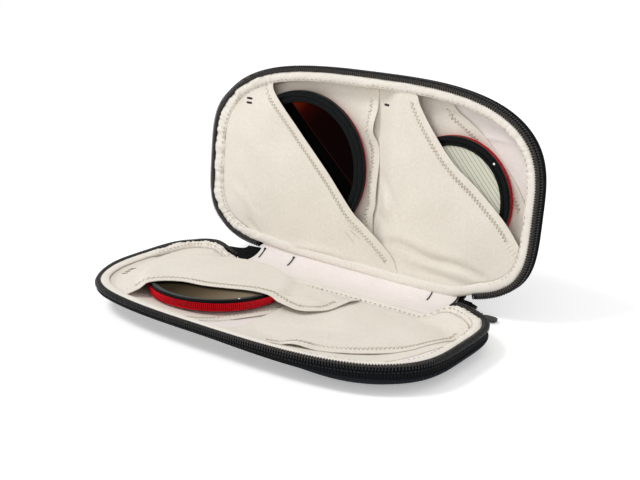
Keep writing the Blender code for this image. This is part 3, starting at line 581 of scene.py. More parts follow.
def slant():
    """Signed distance from a straight line across a glass, square to its lean."""
    nodes, given, out = new_group("slant", {"Place": VECTOR, "Lean": VECTOR, "Offset": VALUE},
                                  {"Away": VALUE})
    dot = nodes.add("ShaderNodeVectorMath", operation="DOT_PRODUCT")
    nodes.feed(dot.inputs[0], given["Place"])
    nodes.feed(dot.inputs[1], given["Lean"])
    nodes.feed(out["Away"], nodes.math("SUBTRACT", dot.outputs["Value"], given["Offset"]))
    return nodes.tree


BRUSHED_NAP, RIBBED_WEAVE, FINE_GRAIN, SLANT = brushed_nap(), ribbed_weave(), fine_grain(), slant()


def microfibre(name, dark, pale):
    """Brushed cream cloth of the pockets, the lining and the border."""
    made = new_material(name, 0.88, 0.25, sheen=0.25)
    nodes = Nodes(made.node_tree)
    nap = nodes.effect(BRUSHED_NAP, place=nodes.coordinates("UV"), dark=dark, pale=pale, nap_scale=2600.0,
                       weave_scale=420.0, mottle_scale=620.0, drift_scale=45.0)
    nodes.finish("Base Color", nap["Colour"])
    nodes.bump(nap["Height"], 0.35, 0.00016)
    return made


def black_weave(name, dark, pale, depth, **weave_values):
    """Ribbed black cloth: the shell's charcoal fabric and the zip's darker, coarser tape."""
    made = new_material(name, 0.85, 0.10)
    nodes = Nodes(made.node_tree)
    weave = nodes.effect(RIBBED_WEAVE, place=nodes.coordinates("UV"), dark=dark, pale=pale, **weave_values)
    nodes.finish("Base Color", weave["Colour"])
    nodes.bump(weave["Height"], 0.8, depth)
    return made


def grained(name, dark, pale, roughness, spread, specular, metallic, scale, detail, bump):
    """Finish whose gloss varies a little: spread is how far below and above, bump is (strength, distance)."""
    made = new_material(name, roughness, specular, metallic=metallic)
    nodes = Nodes(made.node_tree)
    grain = nodes.effect(FINE_GRAIN, place=nodes.coordinates("Object"), dark=dark, pale=pale,
                         grain_scale=scale, grain_detail=detail, smoothest=roughness - spread[0],
                         roughest=roughness + spread[1])
    nodes.finish("Base Color", grain["Colour"])
    nodes.finish("Roughness", grain["Roughness"])
    nodes.bump(grain["Height"], *bump)
    return made


def plain_black(name, roughness, dark, pale, metallic=0.0):
    """Moulded or lacquered black."""
    return grained(name, dark, pale, roughness, spread=(0.06, 0.08), specular=0.35, metallic=metallic,
                   scale=1800.0, detail=2.0, bump=(0.12, 0.00005))


def anodised(name, dark, pale, roughness):
    """Anodised aluminium with faint turning marks."""
    return grained(name, dark, pale, roughness, spread=(0.08, 0.10), specular=0.25, metallic=0.75,
                   scale=900.0, detail=3.0, bump=(0.08, 0.00004))


def thread_material(name, dark, pale):
    """Thread, cord, ink or paint: one dull colour with a fine grain."""
    made = new_material(name, 0.8, 0.25, sheen=0.1)
    nodes = Nodes(made.node_tree)
    grain = nodes.effect(FINE_GRAIN, place=nodes.coordinates("Object"), dark=dark, pale=pale,
                         grain_scale=2500.0, grain_detail=1.0)
    nodes.finish("Base Color", grain["Colour"])
    return made


def red_filter_glass():
    """Deep red glass with a painted reflection: all black on one side of a slanted line that mirrors the cloth's
    edge, with a thin dark line along it, and brighter red-brown towards one end on the other side.
    """
    made = new_material("red_glass", 0.05, 0.008)
    nodes = Nodes(made.node_tree)
    where = nodes.coordinates("UV")
    away = nodes.effect(SLANT, place=where, lean=(0.668, 0.744, 0.0), offset=0.0197)["Away"]
    along = nodes.effect(SLANT, place=where, lean=(0.744, -0.668, 0.0), offset=0.0)["Away"]
    # Painted reflection: brighter red-brown towards one end of the glass, fading to near black.
    painted_reflection = nodes.ramp(nodes.math("ADD", nodes.math("MULTIPLY", along, 18.0), 0.5),
                      [(0.0, (0.080, 0.007, 0.002)), (0.12, (0.016, 0.0010, 0.0005)),
                       (0.28, (0.004, 0.0003, 0.0003)), (0.9, (0.002, 0.0003, 0.0004))])
    # Painted reflection: near black on one side of the slanted line, and a thin dark line along it for the
    # mirrored edge of the cloth.
    painted_glass_view = nodes.mix(nodes.math("GREATER_THAN", away, 0.0), (0.0004, 0.0002, 0.0002), painted_reflection)
    line = nodes.math("LESS_THAN", nodes.math("ABSOLUTE", away), 0.00018)
    nodes.finish("Base Color", nodes.mix(line, painted_glass_view, (0.022, 0.005, 0.004)))
    return made


def lined_filter_glass():
    """Clear glass over cloth, cut with thin straight lines."""
    made = new_material("green_glass", 0.05, 0.15)
    nodes = Nodes(made.node_tree)
    away = nodes.effect(SLANT, place=nodes.coordinates("UV"), lean=(0.732, 0.681, 0.0), offset=0.0)["Away"]
    painted_glass_view = nodes.ramp(nodes.math("ADD", nodes.math("MULTIPLY", away, 20.0), 0.3),
                      [(0.3, (0.44, 0.44, 0.36)), (0.75, (0.58, 0.57, 0.47))])
    share = nodes.math("MODULO", nodes.math("ADD", nodes.math("DIVIDE", away, GLASS_LINE_PITCH), 40.0), 1.0)
    nodes.finish("Base Color", nodes.mix(nodes.math("LESS_THAN", share, 0.12), painted_glass_view, (0.17, 0.17, 0.13)))
    return made


def brown_filter_glass():
    """Grey-brown glass, darker towards its far side: painted shade from the cloth there, and a painted pale
    reflection towards the other side.
    """
    made = new_material("brown_glass", 0.12, 0.0)
    nodes = Nodes(made.node_tree)
    where = nodes.coordinates("UV")
    away = nodes.effect(SLANT, place=where, lean=(1.0, 0.0, 0.0), offset=0.0)["Away"]
    # Painted shade and painted reflection: dark where the cloth's shadow falls, pale cream towards the other side.
    painted_glass_view = nodes.ramp(nodes.math("ADD", nodes.math("MULTIPLY", away, 16.0), 0.5),
                      [(0.10, (0.012, 0.009, 0.005)), (0.38, (0.026, 0.019, 0.010)),
                       (0.62, (0.082, 0.060, 0.036)), (0.90, (0.21, 0.165, 0.112))])
    drift = nodes.math("MULTIPLY", nodes.noise(where, 40.0, 1.0), 0.05)
    nodes.finish("Base Color", nodes.mix(drift, painted_glass_view, (0.20, 0.17, 0.12)))
    return made


PANEL_CLOTH = microfibre("panel_cloth", (0.65, 0.60, 0.52), (0.78, 0.73, 0.645))
LINING_CLOTH = microfibre("lining_cloth", (0.73, 0.67, 0.64), (0.85, 0.79, 0.755))
BORDER_CLOTH = microfibre("border_cloth", (0.69, 0.64, 0.57), (0.82, 0.77, 0.70))
SHELL_FABRIC = black_weave("shell_fabric", (0.003, 0.0035, 0.005), (0.016, 0.018, 0.023), 0.00020,
                           rib_scale=420.0, rib_wobble=0.6, row_wobble=0.8, row_share=0.4, fibre_scale=3200.0,
                           fibre_share=0.4, weave_height=1.0, fibre_height=0.3)
TAPE_FABRIC = black_weave("zip_tape", (0.001, 0.0012, 0.0014), (0.007, 0.0078, 0.0095), 0.00022,
                          rib_scale=230.0, rib_wobble=0.4, row_wobble=0.0, row_share=0.0, fibre_scale=3000.0,
                          fibre_share=0.3, weave_height=0.7, fibre_height=0.3)
COIL_NYLON = plain_black("coil_nylon", 0.26, (0.001, 0.001, 0.001), (0.004, 0.004, 0.004))
SLIDER_LACQUER = plain_black("slider_lacquer", 0.30, (0.005, 0.005, 0.005), (0.018, 0.018, 0.018),
                             metallic=0.3)
BLACK_THREAD = thread_material("black_thread", (0.006, 0.006, 0.006), (0.020, 0.020, 0.022))
TALLY_INK = thread_material("mark_ink", (0.012, 0.011, 0.010), (0.030, 0.028, 0.026))
CREAM_THREAD = thread_material("cream_thread", (0.40, 0.36, 0.27), (0.56, 0.51, 0.41))
SEAM_THREAD = thread_material("seam_thread", (0.40, 0.35, 0.28), (0.55, 0.49, 0.40))
ZIP_CORD = thread_material("zip_core", (0.05, 0.043, 0.036), (0.11, 0.095, 0.080))
WHITE_PAINT = thread_material("white_paint", (0.70, 0.70, 0.70), (0.85, 0.85, 0.85))
RED_METAL = anodised("red_metal", (0.50, 0.006, 0.014), (0.66, 0.012, 0.024), 0.40)
# Darker red for the knurl's groove bottoms: painted shade in the grooves.
RED_GROOVE_PAINTED_SHADE = anodised("red_groove_painted_shade", (0.16, 0.002, 0.005), (0.26, 0.004, 0.009), 0.55)
BLACK_METAL = anodised("black_metal", (0.002, 0.003, 0.003), (0.006, 0.008, 0.008), 0.40)
RED_GLASS = red_filter_glass()
LINED_GLASS = lined_filter_glass()
BROWN_GLASS = brown_filter_glass()


# Shell and zip tape


SHELL_WALL_SECTION = [(-0.0220, 0.0001), (-0.0180, 0.0001), (-0.0140, 0.0001), (-0.0108, 0.0007),
                      (-0.0054, 0.0027), (-0.0010, 0.0046), (0.0012, 0.0060), (0.0020, 0.0070),
                      (0.0022, 0.0078), (0.0019, 0.0083), (0.0014, 0.0082), (0.0011, 0.0070)]
SHELL_SHALLOW_SECTION = [(-0.0240, 0.0001), (-0.0190, 0.0004), (-0.0140, 0.0014), (-0.0100, 0.0024),
                         (-0.0060, 0.0045), (-0.0020, 0.0066), (0.0004, 0.0080), (0.0014, 0.0088),
                         (0.0018, 0.0092), (0.0017, 0.0095), (0.0013, 0.0094), (0.0010, 0.0084)]
SHELL_RAISED_SECTION = [(-0.0280, 0.0030), (-0.0200, 0.0048), (-0.0140, 0.0063), (-0.0090, 0.0079),
                        (-0.0050, 0.0089), (-0.0015, 0.0097), (0.0004, 0.0101), (0.0012, 0.0104),
                        (0.0016, 0.0107), (0.0015, 0.0110), (0.0011, 0.0109), (0.0008, 0.0102)]
SHELL_SPINE_SECTION = [(-0.0220, 0.0001), (-0.0190, 0.0001), (-0.0140, 0.0001), (-0.0108, 0.0001),
                       (-0.0054, 0.0001), (-0.0010, 0.0000), (0.0010, 0.0001), (0.0018, 0.0004),
                       (0.0020, 0.0011), (0.0016, 0.0018), (0.0010, 0.0020), (0.0000, 0.0020)]


def section_grid(wall, spine, columns, rows, closed=False):
    """Grow and height over a grid: rows along a section, columns round the rim."""
    s = np.linspace(0.0, RIM_LENGTH, columns)
    x, v = rim_at(s, np.zeros(columns))
    share = spine_weight(x, v)[None, :, None]
    wall, spine = (curve_through(points, rows + closed, closed) for points in (wall, spine))
    if closed:
        wall, spine = wall[:-1], spine[:-1]
    both = wall[:, None, :] * (1 - share) + spine[:, None, :] * share
    return np.broadcast_to(s, both.shape[:2]), both[..., 0], both[..., 1]


def raised(x, v):
    """1 at the base's front left, where its floor slopes up to a thin rim."""
    return smooth_step(0.088, -0.010, np.asarray(x)) * smooth_step(-0.034, 0.000, np.asarray(v))


def floor_at(half, x, v):
    """Height of a half's lining: flat, but sloped up to the border along the base's front."""
    if half is LID:
        return np.full(np.shape(x), LINING_HEIGHT)
    rim = np.stack(rim_at(np.linspace(0, RIM_LENGTH, 160), np.zeros(160)), axis=-1)
    near = gap_to(x, v, rim)
    slope = np.interp(near, [0.0042, 0.0064, 0.0090, 0.0140, 0.0200, 0.0270, 0.0360],
                      [0.0112, 0.0106, 0.0096, 0.0076, 0.0057, 0.0043, LINING_HEIGHT])
    front = smooth_step(-0.034, 0.000, np.asarray(v)) * smooth_step(-0.5, 0.0, v)
    return LINING_HEIGHT + (slope - LINING_HEIGHT) * front


def squashed(half, x, v, h, share=0.62):
    """Heights drawn up towards the coil where the base's rim is thin."""
    if half is LID:
        return h
    return COIL_FOOT - (COIL_FOOT - h) * (1 - share * raised(x, v))


def make_shell(half):
    """Moulded outer dish, with a flat middle under its turned-up wall."""
    rows = 40
    s, grow, h = section_grid(SHELL_WALL_SECTION, SHELL_SPINE_SECTION, RIM_COLUMNS, rows)
    if half is BASE:
        x, v = rim_at(s, np.zeros(s.shape))
        for section, share in ((SHELL_SHALLOW_SECTION, smooth_step(0.074, 0.030, x)),
                               (SHELL_RAISED_SECTION, raised(x, v))):
            _, other_grow, other_h = section_grid(section, SHELL_SPINE_SECTION, RIM_COLUMNS, rows)
            grow, h = grow + (other_grow - grow) * share, h + (other_h - h) * share
    x, v = rim_at(s, grow)
    middle_rows = 16
    inward = np.linspace(0.04, 1.0, middle_rows, endpoint=False)[:, None]
    x, v = np.vstack([x[:1] * inward, x]), np.vstack([v[:1] * inward, v])
    h = np.vstack([SHELL_BOTTOM + (h[:1] - SHELL_BOTTOM) * smooth_step(0.45, 1.0, inward), h])
    rows += middle_rows
    points = half.place(x, v, h)
    faces = grid_faces(rows, RIM_COLUMNS)
    uv = np.stack([x, v - h], axis=-1)
    centre = half.place(np.zeros(1), np.zeros(1), np.full(1, SHELL_BOTTOM))
    middle = rows * RIM_COLUMNS
    faces += [(middle, column + 1, column) for column in range(RIM_COLUMNS - 1)]
    inside = half.place(x[-1], v[-1], h[-1] - 0.0003)
    points = np.concatenate([points.reshape(-1, 3), centre, inside])
    uv = np.concatenate([uv.reshape(-1, 2), [[0.0, 0.0]], uv[-1]])
    last, first = (rows - 1) * RIM_COLUMNS, middle + 1
    faces += [(last + c, last + c + 1, first + c + 1, first + c) for c in range(RIM_COLUMNS - 1)]
    facing_out(new_mesh(half.body + "_shell_fabric", points, faces, half.body, SHELL_FABRIC,
                        (half.body + "_shell",), uv))


def zip_drop(half, s):
    """How far the zip sinks towards the spine at its ends."""
    x, v = rim_at(s, np.zeros(s.shape))
    return ZIP_SINK[half.body] * spine_weight(x, v)


def zip_run(count, inset=0.0):
    """Lengths along the rim from the right zip end to the left, the long way round."""
    start = rim_s(ZIP_END_RIGHT, -RIM_BACK_REACH)
    end = rim_s(-ZIP_END_LEFT, -RIM_BACK_REACH)
    return np.linspace(start + inset, end - inset, count)


def make_tape(half):
    """Woven band between the shell's lip and the coil."""
    section = curve_through([(0.0015, 0.0076), (0.0016, 0.0090), (0.0016, 0.0110), (0.0017, 0.0126),
                             (0.0010, 0.0134), (0.0001, 0.0134), (0.0001, 0.0127), (0.0005, 0.0110),
                             (0.0006, 0.0090), (0.0008, 0.0076)], 24, True)[:-1]
    columns = 700
    s = np.broadcast_to(zip_run(columns), (len(section), columns))
    grow = np.broadcast_to(section[:, :1], s.shape)
    x, v = rim_at(s, grow)
    h = squashed(half, x, v, section[:, 1:], 0.45) - zip_drop(half, s)
    facing_out(new_mesh(half.body + "_zip_ribbon", half.place(x, v, h), tube_faces(*s.shape), half.body,
                        TAPE_FABRIC, (half.body + "_zip_tape",), np.stack([s, h], axis=-1)))


def tooth_template():
    """One loop of the coil as (along, grow, height) points and faces."""
    line = curve_through([(0.0018, 0.0121), (0.0021, 0.0129), (0.0019, 0.0137), (0.0011, 0.0141),
                          (0.0003, 0.0142), (-0.0005, 0.0140), (-0.0009, 0.0134), (-0.0003, 0.0128)], 10)
    points, sides = [], 6
    along = np.gradient(line, axis=0)
    along /= np.linalg.norm(along, axis=1)[:, None]
    for index, (centre, tangent) in enumerate(zip(line, along)):
        square = np.array([-tangent[1], tangent[0]])
        thick = TOOTH_RADIUS * (1.0 if 0 < index < len(line) - 1 else 0.55)
        for side in range(sides):
            angle = 2 * pi * side / sides
            flat = centre + square * thick * sin(angle)
            points.append((thick * 0.95 * cos(angle), flat[0], flat[1]))
    faces = grid_faces(len(line), sides, wrap_columns=True)
    faces.append(tuple(range(sides))[::-1])
    faces.append(tuple((len(line) - 1) * sides + side for side in range(sides)))
    return np.array(points), faces


def repeat_on_rim(name, half, template, places, material, replaced=()):
    """Copies of a template of (along, grow, height) points at lengths along the rim."""
    points, faces = template
    s = places[:, None] + points[None, :, 0]
    x, v = rim_at(s, np.broadcast_to(points[None, :, 1], s.shape))
    placed = half.place(x, v, points[None, :, 2] - zip_drop(half, s))
    every = []
    for copy in range(len(places)):
        start = copy * len(points)
        every += [tuple(start + i for i in face) for face in faces]
    return facing_out(new_mesh(name, placed, every, half.body, material, replaced))


def make_core(half):
    """Cord that the coil is sewn round, seen between its loops."""
    section = np.array([(0.0003 + 0.0010 * cos(turn), 0.0135 + 0.00055 * sin(turn))
                        for turn in np.linspace(0, 2 * pi, 10, endpoint=False)])
    columns = 500
    s = np.broadcast_to(zip_run(columns, 0.002), (len(section), columns))
    x, v = rim_at(s, np.broadcast_to(section[:, :1], s.shape))
    h = section[:, 1:] - zip_drop(half, s)
    facing_out(new_mesh(half.body + "_zip_core", half.place(x, v, h), tube_faces(*s.shape), half.body,
                        ZIP_CORD))


def make_coil(half):
    """The zip's coil, the cord inside it and the stitches that hold it to the tape."""
    make_core(half)
    start, end = zip_run(2)
    count = int((end - start) / TOOTH_PITCH)
    repeat_on_rim(half.body + "_zip_coil", half, tooth_template(), np.linspace(start, end, count),
                  COIL_NYLON, (half.body + "_zip_teeth", half.body + "_zip_stop"))
    stitch = np.array([(0.0, 0.0020, 0.0112), (0.00055, 0.0024, 0.0112), (0.0011, 0.0020, 0.0112),
                       (0.00055, 0.0021, 0.0115), (0.00055, 0.0021, 0.0109)])
    faces = [(0, 3, 1), (0, 1, 4), (3, 2, 1), (4, 1, 2), (0, 4, 2, 3)]
    rows = int((end - start) / STITCH_PITCH)
    places = np.linspace(start, end, rows)
    repeat_on_rim(half.body + "_zip_stitches", half, (stitch, faces), places, BLACK_THREAD)


# Border


BORDER_WALL = [(-0.0003, 0.0127), (-0.0010, 0.0135), (-0.0022, 0.0140), (-0.0042, 0.0137), (-0.0056, 0.0127),
               (-0.0062, 0.0113), (-0.0055, 0.0085), (-0.0044, 0.0066), (-0.0032, 0.0061), (-0.0019, 0.0066),
               (-0.0010, 0.0082), (-0.0007, 0.0104)]
LID_BORDER_SPINE = [(0.0030, 0.0138), (0.0018, 0.0143), (0.0004, 0.0144), (-0.0010, 0.0140),
                    (-0.0019, 0.0133), (-0.0023, 0.0124), (-0.0018, 0.0100), (-0.0010, 0.0062),
                    (-0.0004, 0.0042), (0.0008, 0.0034), (0.0026, 0.0056), (0.0038, 0.0112)]
BASE_BORDER_SPINE = [(-0.0016, 0.0040), (-0.0028, 0.0046), (-0.0050, 0.0053), (-0.0078, 0.0058),
                     (-0.0102, 0.0057), (-0.0120, 0.0052), (-0.0124, 0.0046), (-0.0118, 0.0041),
                     (-0.0100, 0.0039), (-0.0074, 0.0039), (-0.0048, 0.0038), (-0.0026, 0.0037)]


def gathers(s, seed, pitch, width, depth):
    """Sum of narrow pleats along the rim, unevenly spaced about a pitch."""
    rng = np.random.default_rng(seed)
    total = np.zeros(np.shape(s))
    for place in np.arange(0.0, RIM_LENGTH, pitch):
        place += pitch * rng.uniform(-0.35, 0.35)
        wide = width * rng.uniform(0.6, 1.5)
        away = (s - place + RIM_LENGTH / 2) % RIM_LENGTH - RIM_LENGTH / 2
        total -= depth * rng.uniform(0.3, 1.0) * np.exp(-(away / wide) ** 2)
    return total


def make_border(half, spine_section, gather_share):
    """Padded, gathered roll along the rim, closed where its ends meet."""
    s, grow, h = section_grid(BORDER_WALL, spine_section, BORDER_COLUMNS, BORDER_ROWS, closed=True)
    x0, v0 = rim_at(s, np.zeros(s.shape))
    share = gather_share(x0, v0)
    centre_grow, centre_h = grow.mean(axis=0), h.mean(axis=0)
    slanted = s + 0.25 * (grow - centre_grow)
    swell = gathers(slanted, 5 if half is LID else 9, pitch=0.0034, width=0.0008, depth=0.0007) * share
    slanted_back = s - 0.3 * (grow - centre_grow)
    swell += gathers(slanted_back, 15, pitch=0.0081, width=0.0013, depth=0.0005) * share
    swell += 0.00020 * Ripples(21, 0.009).at(s, grow * 2) * (0.4 + share)
    if half is LID:
        lift = spine_weight(x0, v0) * (0.0033 - 0.0018 * np.clip(x0 / SPINE_HALF_LENGTH, -1.0, 1.0))
        grow = grow - lift * smooth_step(0.0050, 0.0110, h)
    away_grow, away_h = grow - centre_grow, h - centre_h
    size = np.maximum(np.hypot(away_grow, away_h), 1e-6)
    upper = smooth_step(-0.2, 0.4, away_h / size)
    grow = grow + away_grow / size * swell * (0.35 + 0.45 * upper)
    h = h + away_h / size * swell * (0.35 + 0.65 * upper)
    x, v = rim_at(s, grow)
    h = np.where(h < COIL_FOOT, squashed(half, x, v, h), h)
    piece = new_mesh(half.body + "_border_roll", half.place(x, v, h), tube_faces(BORDER_ROWS, BORDER_COLUMNS),
                     None if half is LID else half.body, BORDER_CLOTH, (half.body + "_border",),
                     np.stack([s, grow + h], axis=-1))
    facing_out(piece)
    if half is LID:
        low = half.place(0.0, -RIM_BACK_REACH - 0.0044, 0.0)
        high = half.place(0.0, -RIM_BACK_REACH + 0.0016, 0.0)
        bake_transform(piece)
    return piece


def lid_gathers(x, v):
    """How strongly the lid's border is gathered: most at its left end and top right corner."""
    left = smooth_step(-0.045, -0.085, x)
    corner = smooth_step(0.075, 0.095, x) * smooth_step(0.01, 0.03, v)
    top = smooth_step(0.030, 0.050, v)
    return np.clip(0.16 + 0.75 * left + 0.6 * corner + 0.1 * top, 0.0, 1.0)


def base_gathers(x, v):
    """How strongly the base's border is gathered: most at both its back corners."""
    back_left = smooth_step(-0.030, -0.060, x) * smooth_step(0.005, -0.025, v)
    back_right = smooth_step(0.060, 0.085, x) * smooth_step(0.02, -0.02, v)
    return np.clip(0.10 + 0.9 * back_left + 0.9 * back_right, 0.0, 1.0)


# Pockets


class Pocket:
    """A cloth panel between a stretch of the border's seam and its own free edge."""

    def __init__(self, half, name, seam_run, free, level, folds=(), free_level=None, ripple=0.00012, seed=3,
                 disc=None, seam_level=None):
        self.half = half
        self.name = name
        self.free = free
        self.level = level
        self.folds = folds
        self.free_level = free_level
        self.ripple = ripple
        self.disc = disc
        self.waves = Ripples(seed, 0.022)
        self.wide_waves = Ripples(seed + 40, 0.05)
        grow, self.seam_h = half.seam(seam_run)
        if seam_level is not None:
            self.seam_h = np.full(len(seam_run), seam_level)
        seam_x, seam_v = rim_at(seam_run, grow)
        self.seam = np.stack([seam_x, seam_v], axis=-1)

    def seam_height(self, x, v):
        """Height of the nearest seam point, blended by nearness."""
        flat = np.stack([np.ravel(x), np.ravel(v)], axis=-1)
        total, weights = np.zeros(len(flat)), np.zeros(len(flat))
        for point, h in zip(self.seam[::6], self.seam_h[::6]):
            weight = 1.0 / (np.sum((flat - point) ** 2, axis=1) + 4e-6) ** 2
            total += weight * h
            weights += weight
        return (total / weights).reshape(np.shape(x))

    def height(self, x, v):
        """Height of the cloth's underside."""
        from_seam = gap_to(x, v, self.seam[::6])
        from_edge = gap_to(x, v, self.free)
        h = self.seam_height(x, v)
        inner = self.level(x, v) if callable(self.level) else self.level
        h = h + (inner - h) * smooth_step(0.0, 0.011, from_seam)
        if self.free_level is not None:
            h = h + self.free_level(x, v) * (1 - smooth_step(0.0, 0.014, from_edge))
        waves = self.waves.at(x, v) + 1.3 * self.wide_waves.at(x, v)
        h = h + self.ripple * waves * smooth_step(0, 0.01, from_seam)
        h = h + HEM_STEP * (1 - smooth_step(HEM_WIDTH - 0.0006, HEM_WIDTH + 0.0006, from_edge))
        puckers = np.cos(2 * pi * (x - v) / (ZIGZAG_PITCH * 1.41))
        puckers *= np.exp(-((from_edge - PUCKER_FROM_EDGE) / PUCKER_WIDTH) ** 2)
        h = h - PUCKER_DEPTH * puckers
        for fold in self.folds:
            h = h + fold.at(x, v)
        room = BACK_ROOM if "back" in self.name else FRONT_ROOM
        h = np.maximum(h, floor_at(self.half, x, v) + room)
        return self.disc.clear(x, v, h) if self.disc else h


class Disc:
    """The top of a filter that a cloth has to clear."""

    def __init__(self, number, depth, radius, half, tilt_deg=0.0):
        centre = np.array(JOINTS[f"filter_{number}_turn"]["pos_m"]) - half.origin
        self.x, self.v, self.h = centre[0], centre @ half.along, centre @ half.inward
        self.slope = np.tan(radians(tilt_deg))
        self.depth, self.radius = depth, radius

    def clear(self, x, v, h, room=0.00035, fall=0.0075):
        """Lifts heights over the disc, falling off softly outside it."""
        away = np.hypot(x - self.x, v - self.v) - self.radius
        top = self.h + self.depth + room + self.slope * (v - self.v)
        cover = np.maximum(top - h, 0.0)
        return h + cover * (1 - smooth_step(0.0006, fall, away))


class Fold:
    """A soft ridge, or with a negative lift a crease, along a run of points."""

    def __init__(self, points, width, lift):
        self.run = curve_through(points, 14)
        self.width = width
        self.lift = lift

    def at(self, x, v):
        flat = np.stack([np.ravel(x), np.ravel(v)], axis=-1)
        gaps = np.linalg.norm(flat[:, None, :] - self.run[None, :, :], axis=2)
        fade = np.sin(pi * (np.argmin(gaps, axis=1) + 0.5) / len(self.run)) ** 0.6
        nearest = gap_to(flat[:, 0], flat[:, 1], self.run)
        return (self.lift * fade * np.exp(-(nearest / self.width) ** 2)).reshape(np.shape(x))


def make_panel(pocket, columns, rows, crowded=0):
    """The pocket's cloth from its seam to its free edge, with some rows crowded along that edge."""
    seam, free = spaced(pocket.seam, columns), spaced(pocket.free, columns)
    share = np.linspace(0, 1.0, rows)[:, None]
    if crowded:
        share = np.concatenate([np.linspace(0, 0.86, rows - crowded, endpoint=False),
                                np.linspace(0.86, 1.0, crowded)])[:, None]
    x = seam[:, 0] * (1 - share) + free[:, 0] * share
    v = seam[:, 1] * (1 - share) + free[:, 1] * share
    h = pocket.height(x, v)
    half = pocket.half
    piece = cloth(pocket.name, half, x, v, h, half.body, PANEL_CLOTH,
                  (pocket.name.removesuffix("_cloth"),))
    sheet_of(x, v, h, half)


def sheet_of(x, v, h, half):
    """Works out where a sheet's grid lies in the frame, and keeps nothing. The extents of its
    grid, 12 mm at least.

    The extents grow only where that area wouldn't fit inside them.
    """
    points = half.place(x, v, h)


def zigzag(pocket, trim):
    """Zigzag thread along the free edge, inside its hem, from one share of its length to another."""
    length = np.linalg.norm(np.diff(pocket.free, axis=0), axis=1).sum()
    count = max(int(length / (ZIGZAG_PITCH / 2)), 4)
    run = spaced(pocket.free, count)
    inward = left_of(run)
    middle = pocket.seam.mean(axis=0)
    side = np.sign(((middle - run[count // 2]) * inward[count // 2]).sum())
    kept = slice(int(trim[0] * count), int(trim[1] * count))
    offset = np.where(np.arange(count) % 2, ZIGZAG_NEAR, ZIGZAG_FAR)
    line = (run + inward * side * offset[:, None])[kept]
    h = pocket.height(line[:, 0], line[:, 1]) + CLOTH_THICKNESS
    points = pocket.half.place(line[:, 0], line[:, 1], h)
    ups = np.broadcast_to(pocket.half.inward, points[1:].shape)
    stitches(pocket.name.removesuffix("cloth") + "zigzag", points[:-1], points[1:], ups, THREAD_RADIUS,
             pocket.half.body, CREAM_THREAD, "panel")


def rim_stitches(half, name, wall, spine, first, last):
    """Running stitches along the rim at a (grow, height) that changes towards the spine."""
    pitch = 0.0030
    count = int((last - first) / pitch)
    starts = np.linspace(first, last, count)
    placed = []
    for s in (starts, starts + 0.6 * pitch):
        x, v = rim_at(s, np.zeros(count))
        share = spine_weight(x, v)
        grow = wall[0] + (spine[0] - wall[0]) * share
        x, v = rim_at(s, grow)
        placed.append(half.place(x, v, wall[1] + (spine[1] - wall[1]) * share))
    ups = np.broadcast_to(half.inward, placed[0].shape)
    stitches(name, *placed, ups, THREAD_RADIUS, half.body, SEAM_THREAD, "border")


def mark(pocket, name, place, wide, turn=0.0):
    """Rounded tally bar of ink on the cloth, wide along x before its turn."""
    count = 40
    points = []
    for ring, share in enumerate((1.0, 0.72, 0.30)):
        for step in range(count):
            angle = 2 * pi * step / count
            across = np.sign(cos(angle)) * abs(cos(angle)) ** 0.55 * wide / 2 * share
            along = np.sign(sin(angle)) * abs(sin(angle)) ** 0.55 * TALLY_BAR_HEIGHT / 2 * share
            points.append((place[0] + across * cos(turn) - along * sin(turn),
                           place[1] + across * sin(turn) + along * cos(turn),
                           0.00002 if ring == 0 else 0.00009))
    flat = np.array(points)
    h = pocket.height(flat[:, 0], flat[:, 1]) + CLOTH_THICKNESS + flat[:, 2]
    faces = grid_faces(3, count, wrap_columns=True) + [tuple(2 * count + step for step in range(count))]
    placed = pocket.half.place(flat[:, 0], flat[:, 1], h)
    return new_mesh(name, placed, faces, pocket.half.body, TALLY_INK)


def row_of_stitches(pocket, name, start, end):
    """Short running stitches on the cloth along a straight line."""
    pitch = 0.0012
    start, end = np.array(start), np.array(end)
    count = max(int(np.linalg.norm(end - start) / pitch), 2)
    firsts = start + (end - start) * (np.arange(count) / count)[:, None]
    lasts = firsts + (end - start) / count * 0.62
    placed = [pocket.half.place(p[:, 0], p[:, 1], pocket.height(p[:, 0], p[:, 1]) + CLOTH_THICKNESS)
              for p in (firsts, lasts)]
    ups = np.broadcast_to(pocket.half.inward, placed[0].shape)
    stitches(name, *placed, ups, THREAD_RADIUS, pocket.half.body, CREAM_THREAD, "panel")


LID_LEFT_EDGE = [(-0.0645, 0.0475), (-0.0632, 0.0440), (-0.0612, 0.0383), (-0.0429, 0.0200),
                 (-0.0206, -0.0017), (-0.0045, -0.0184), (0.0066, -0.0260), (0.0183, -0.0345),
                 (0.0245, -0.0400), (0.0290, -0.0480)]
LID_LEFT_BACK_EDGE = [(0.0028, 0.0470), (0.0030, 0.0432), (0.0036, 0.0370), (0.0030, 0.0290),
                      (0.0029, 0.0238), (0.0057, 0.0182), (0.0073, 0.0056), (0.0076, -0.0134),
                      (0.0062, -0.0219), (0.0080, -0.0470)]
LID_RIGHT_EDGE = [(0.0298, 0.0475), (0.0304, 0.0463), (0.0326, 0.0417), (0.0429, 0.0283), (0.0547, 0.0158),
                  (0.0676, 0.0067), (0.0811, -0.0042), (0.0885, -0.0114), (0.0945, -0.0187)]
RIGHT_BACK_EDGE = [(0.0467, 0.0466), (0.0500, 0.0420), (0.0657, 0.0315), (0.0838, 0.0129), (0.0952, -0.0040)]
BASE_LEFT_EDGE = [(-0.0600, 0.0420), (-0.0603, 0.0331), (-0.0606, 0.0262), (-0.0571, 0.0194),
                  (-0.0490, 0.0135), (-0.0371, 0.0110), (-0.0270, 0.0066), (-0.0146, 0.0008),
                  (-0.0039, -0.0003), (0.0050, 0.0000), (0.0137, -0.0010), (0.0194, -0.0062),
                  (0.0236, -0.0131), (0.0245, -0.0230), (0.0255, -0.0375)]
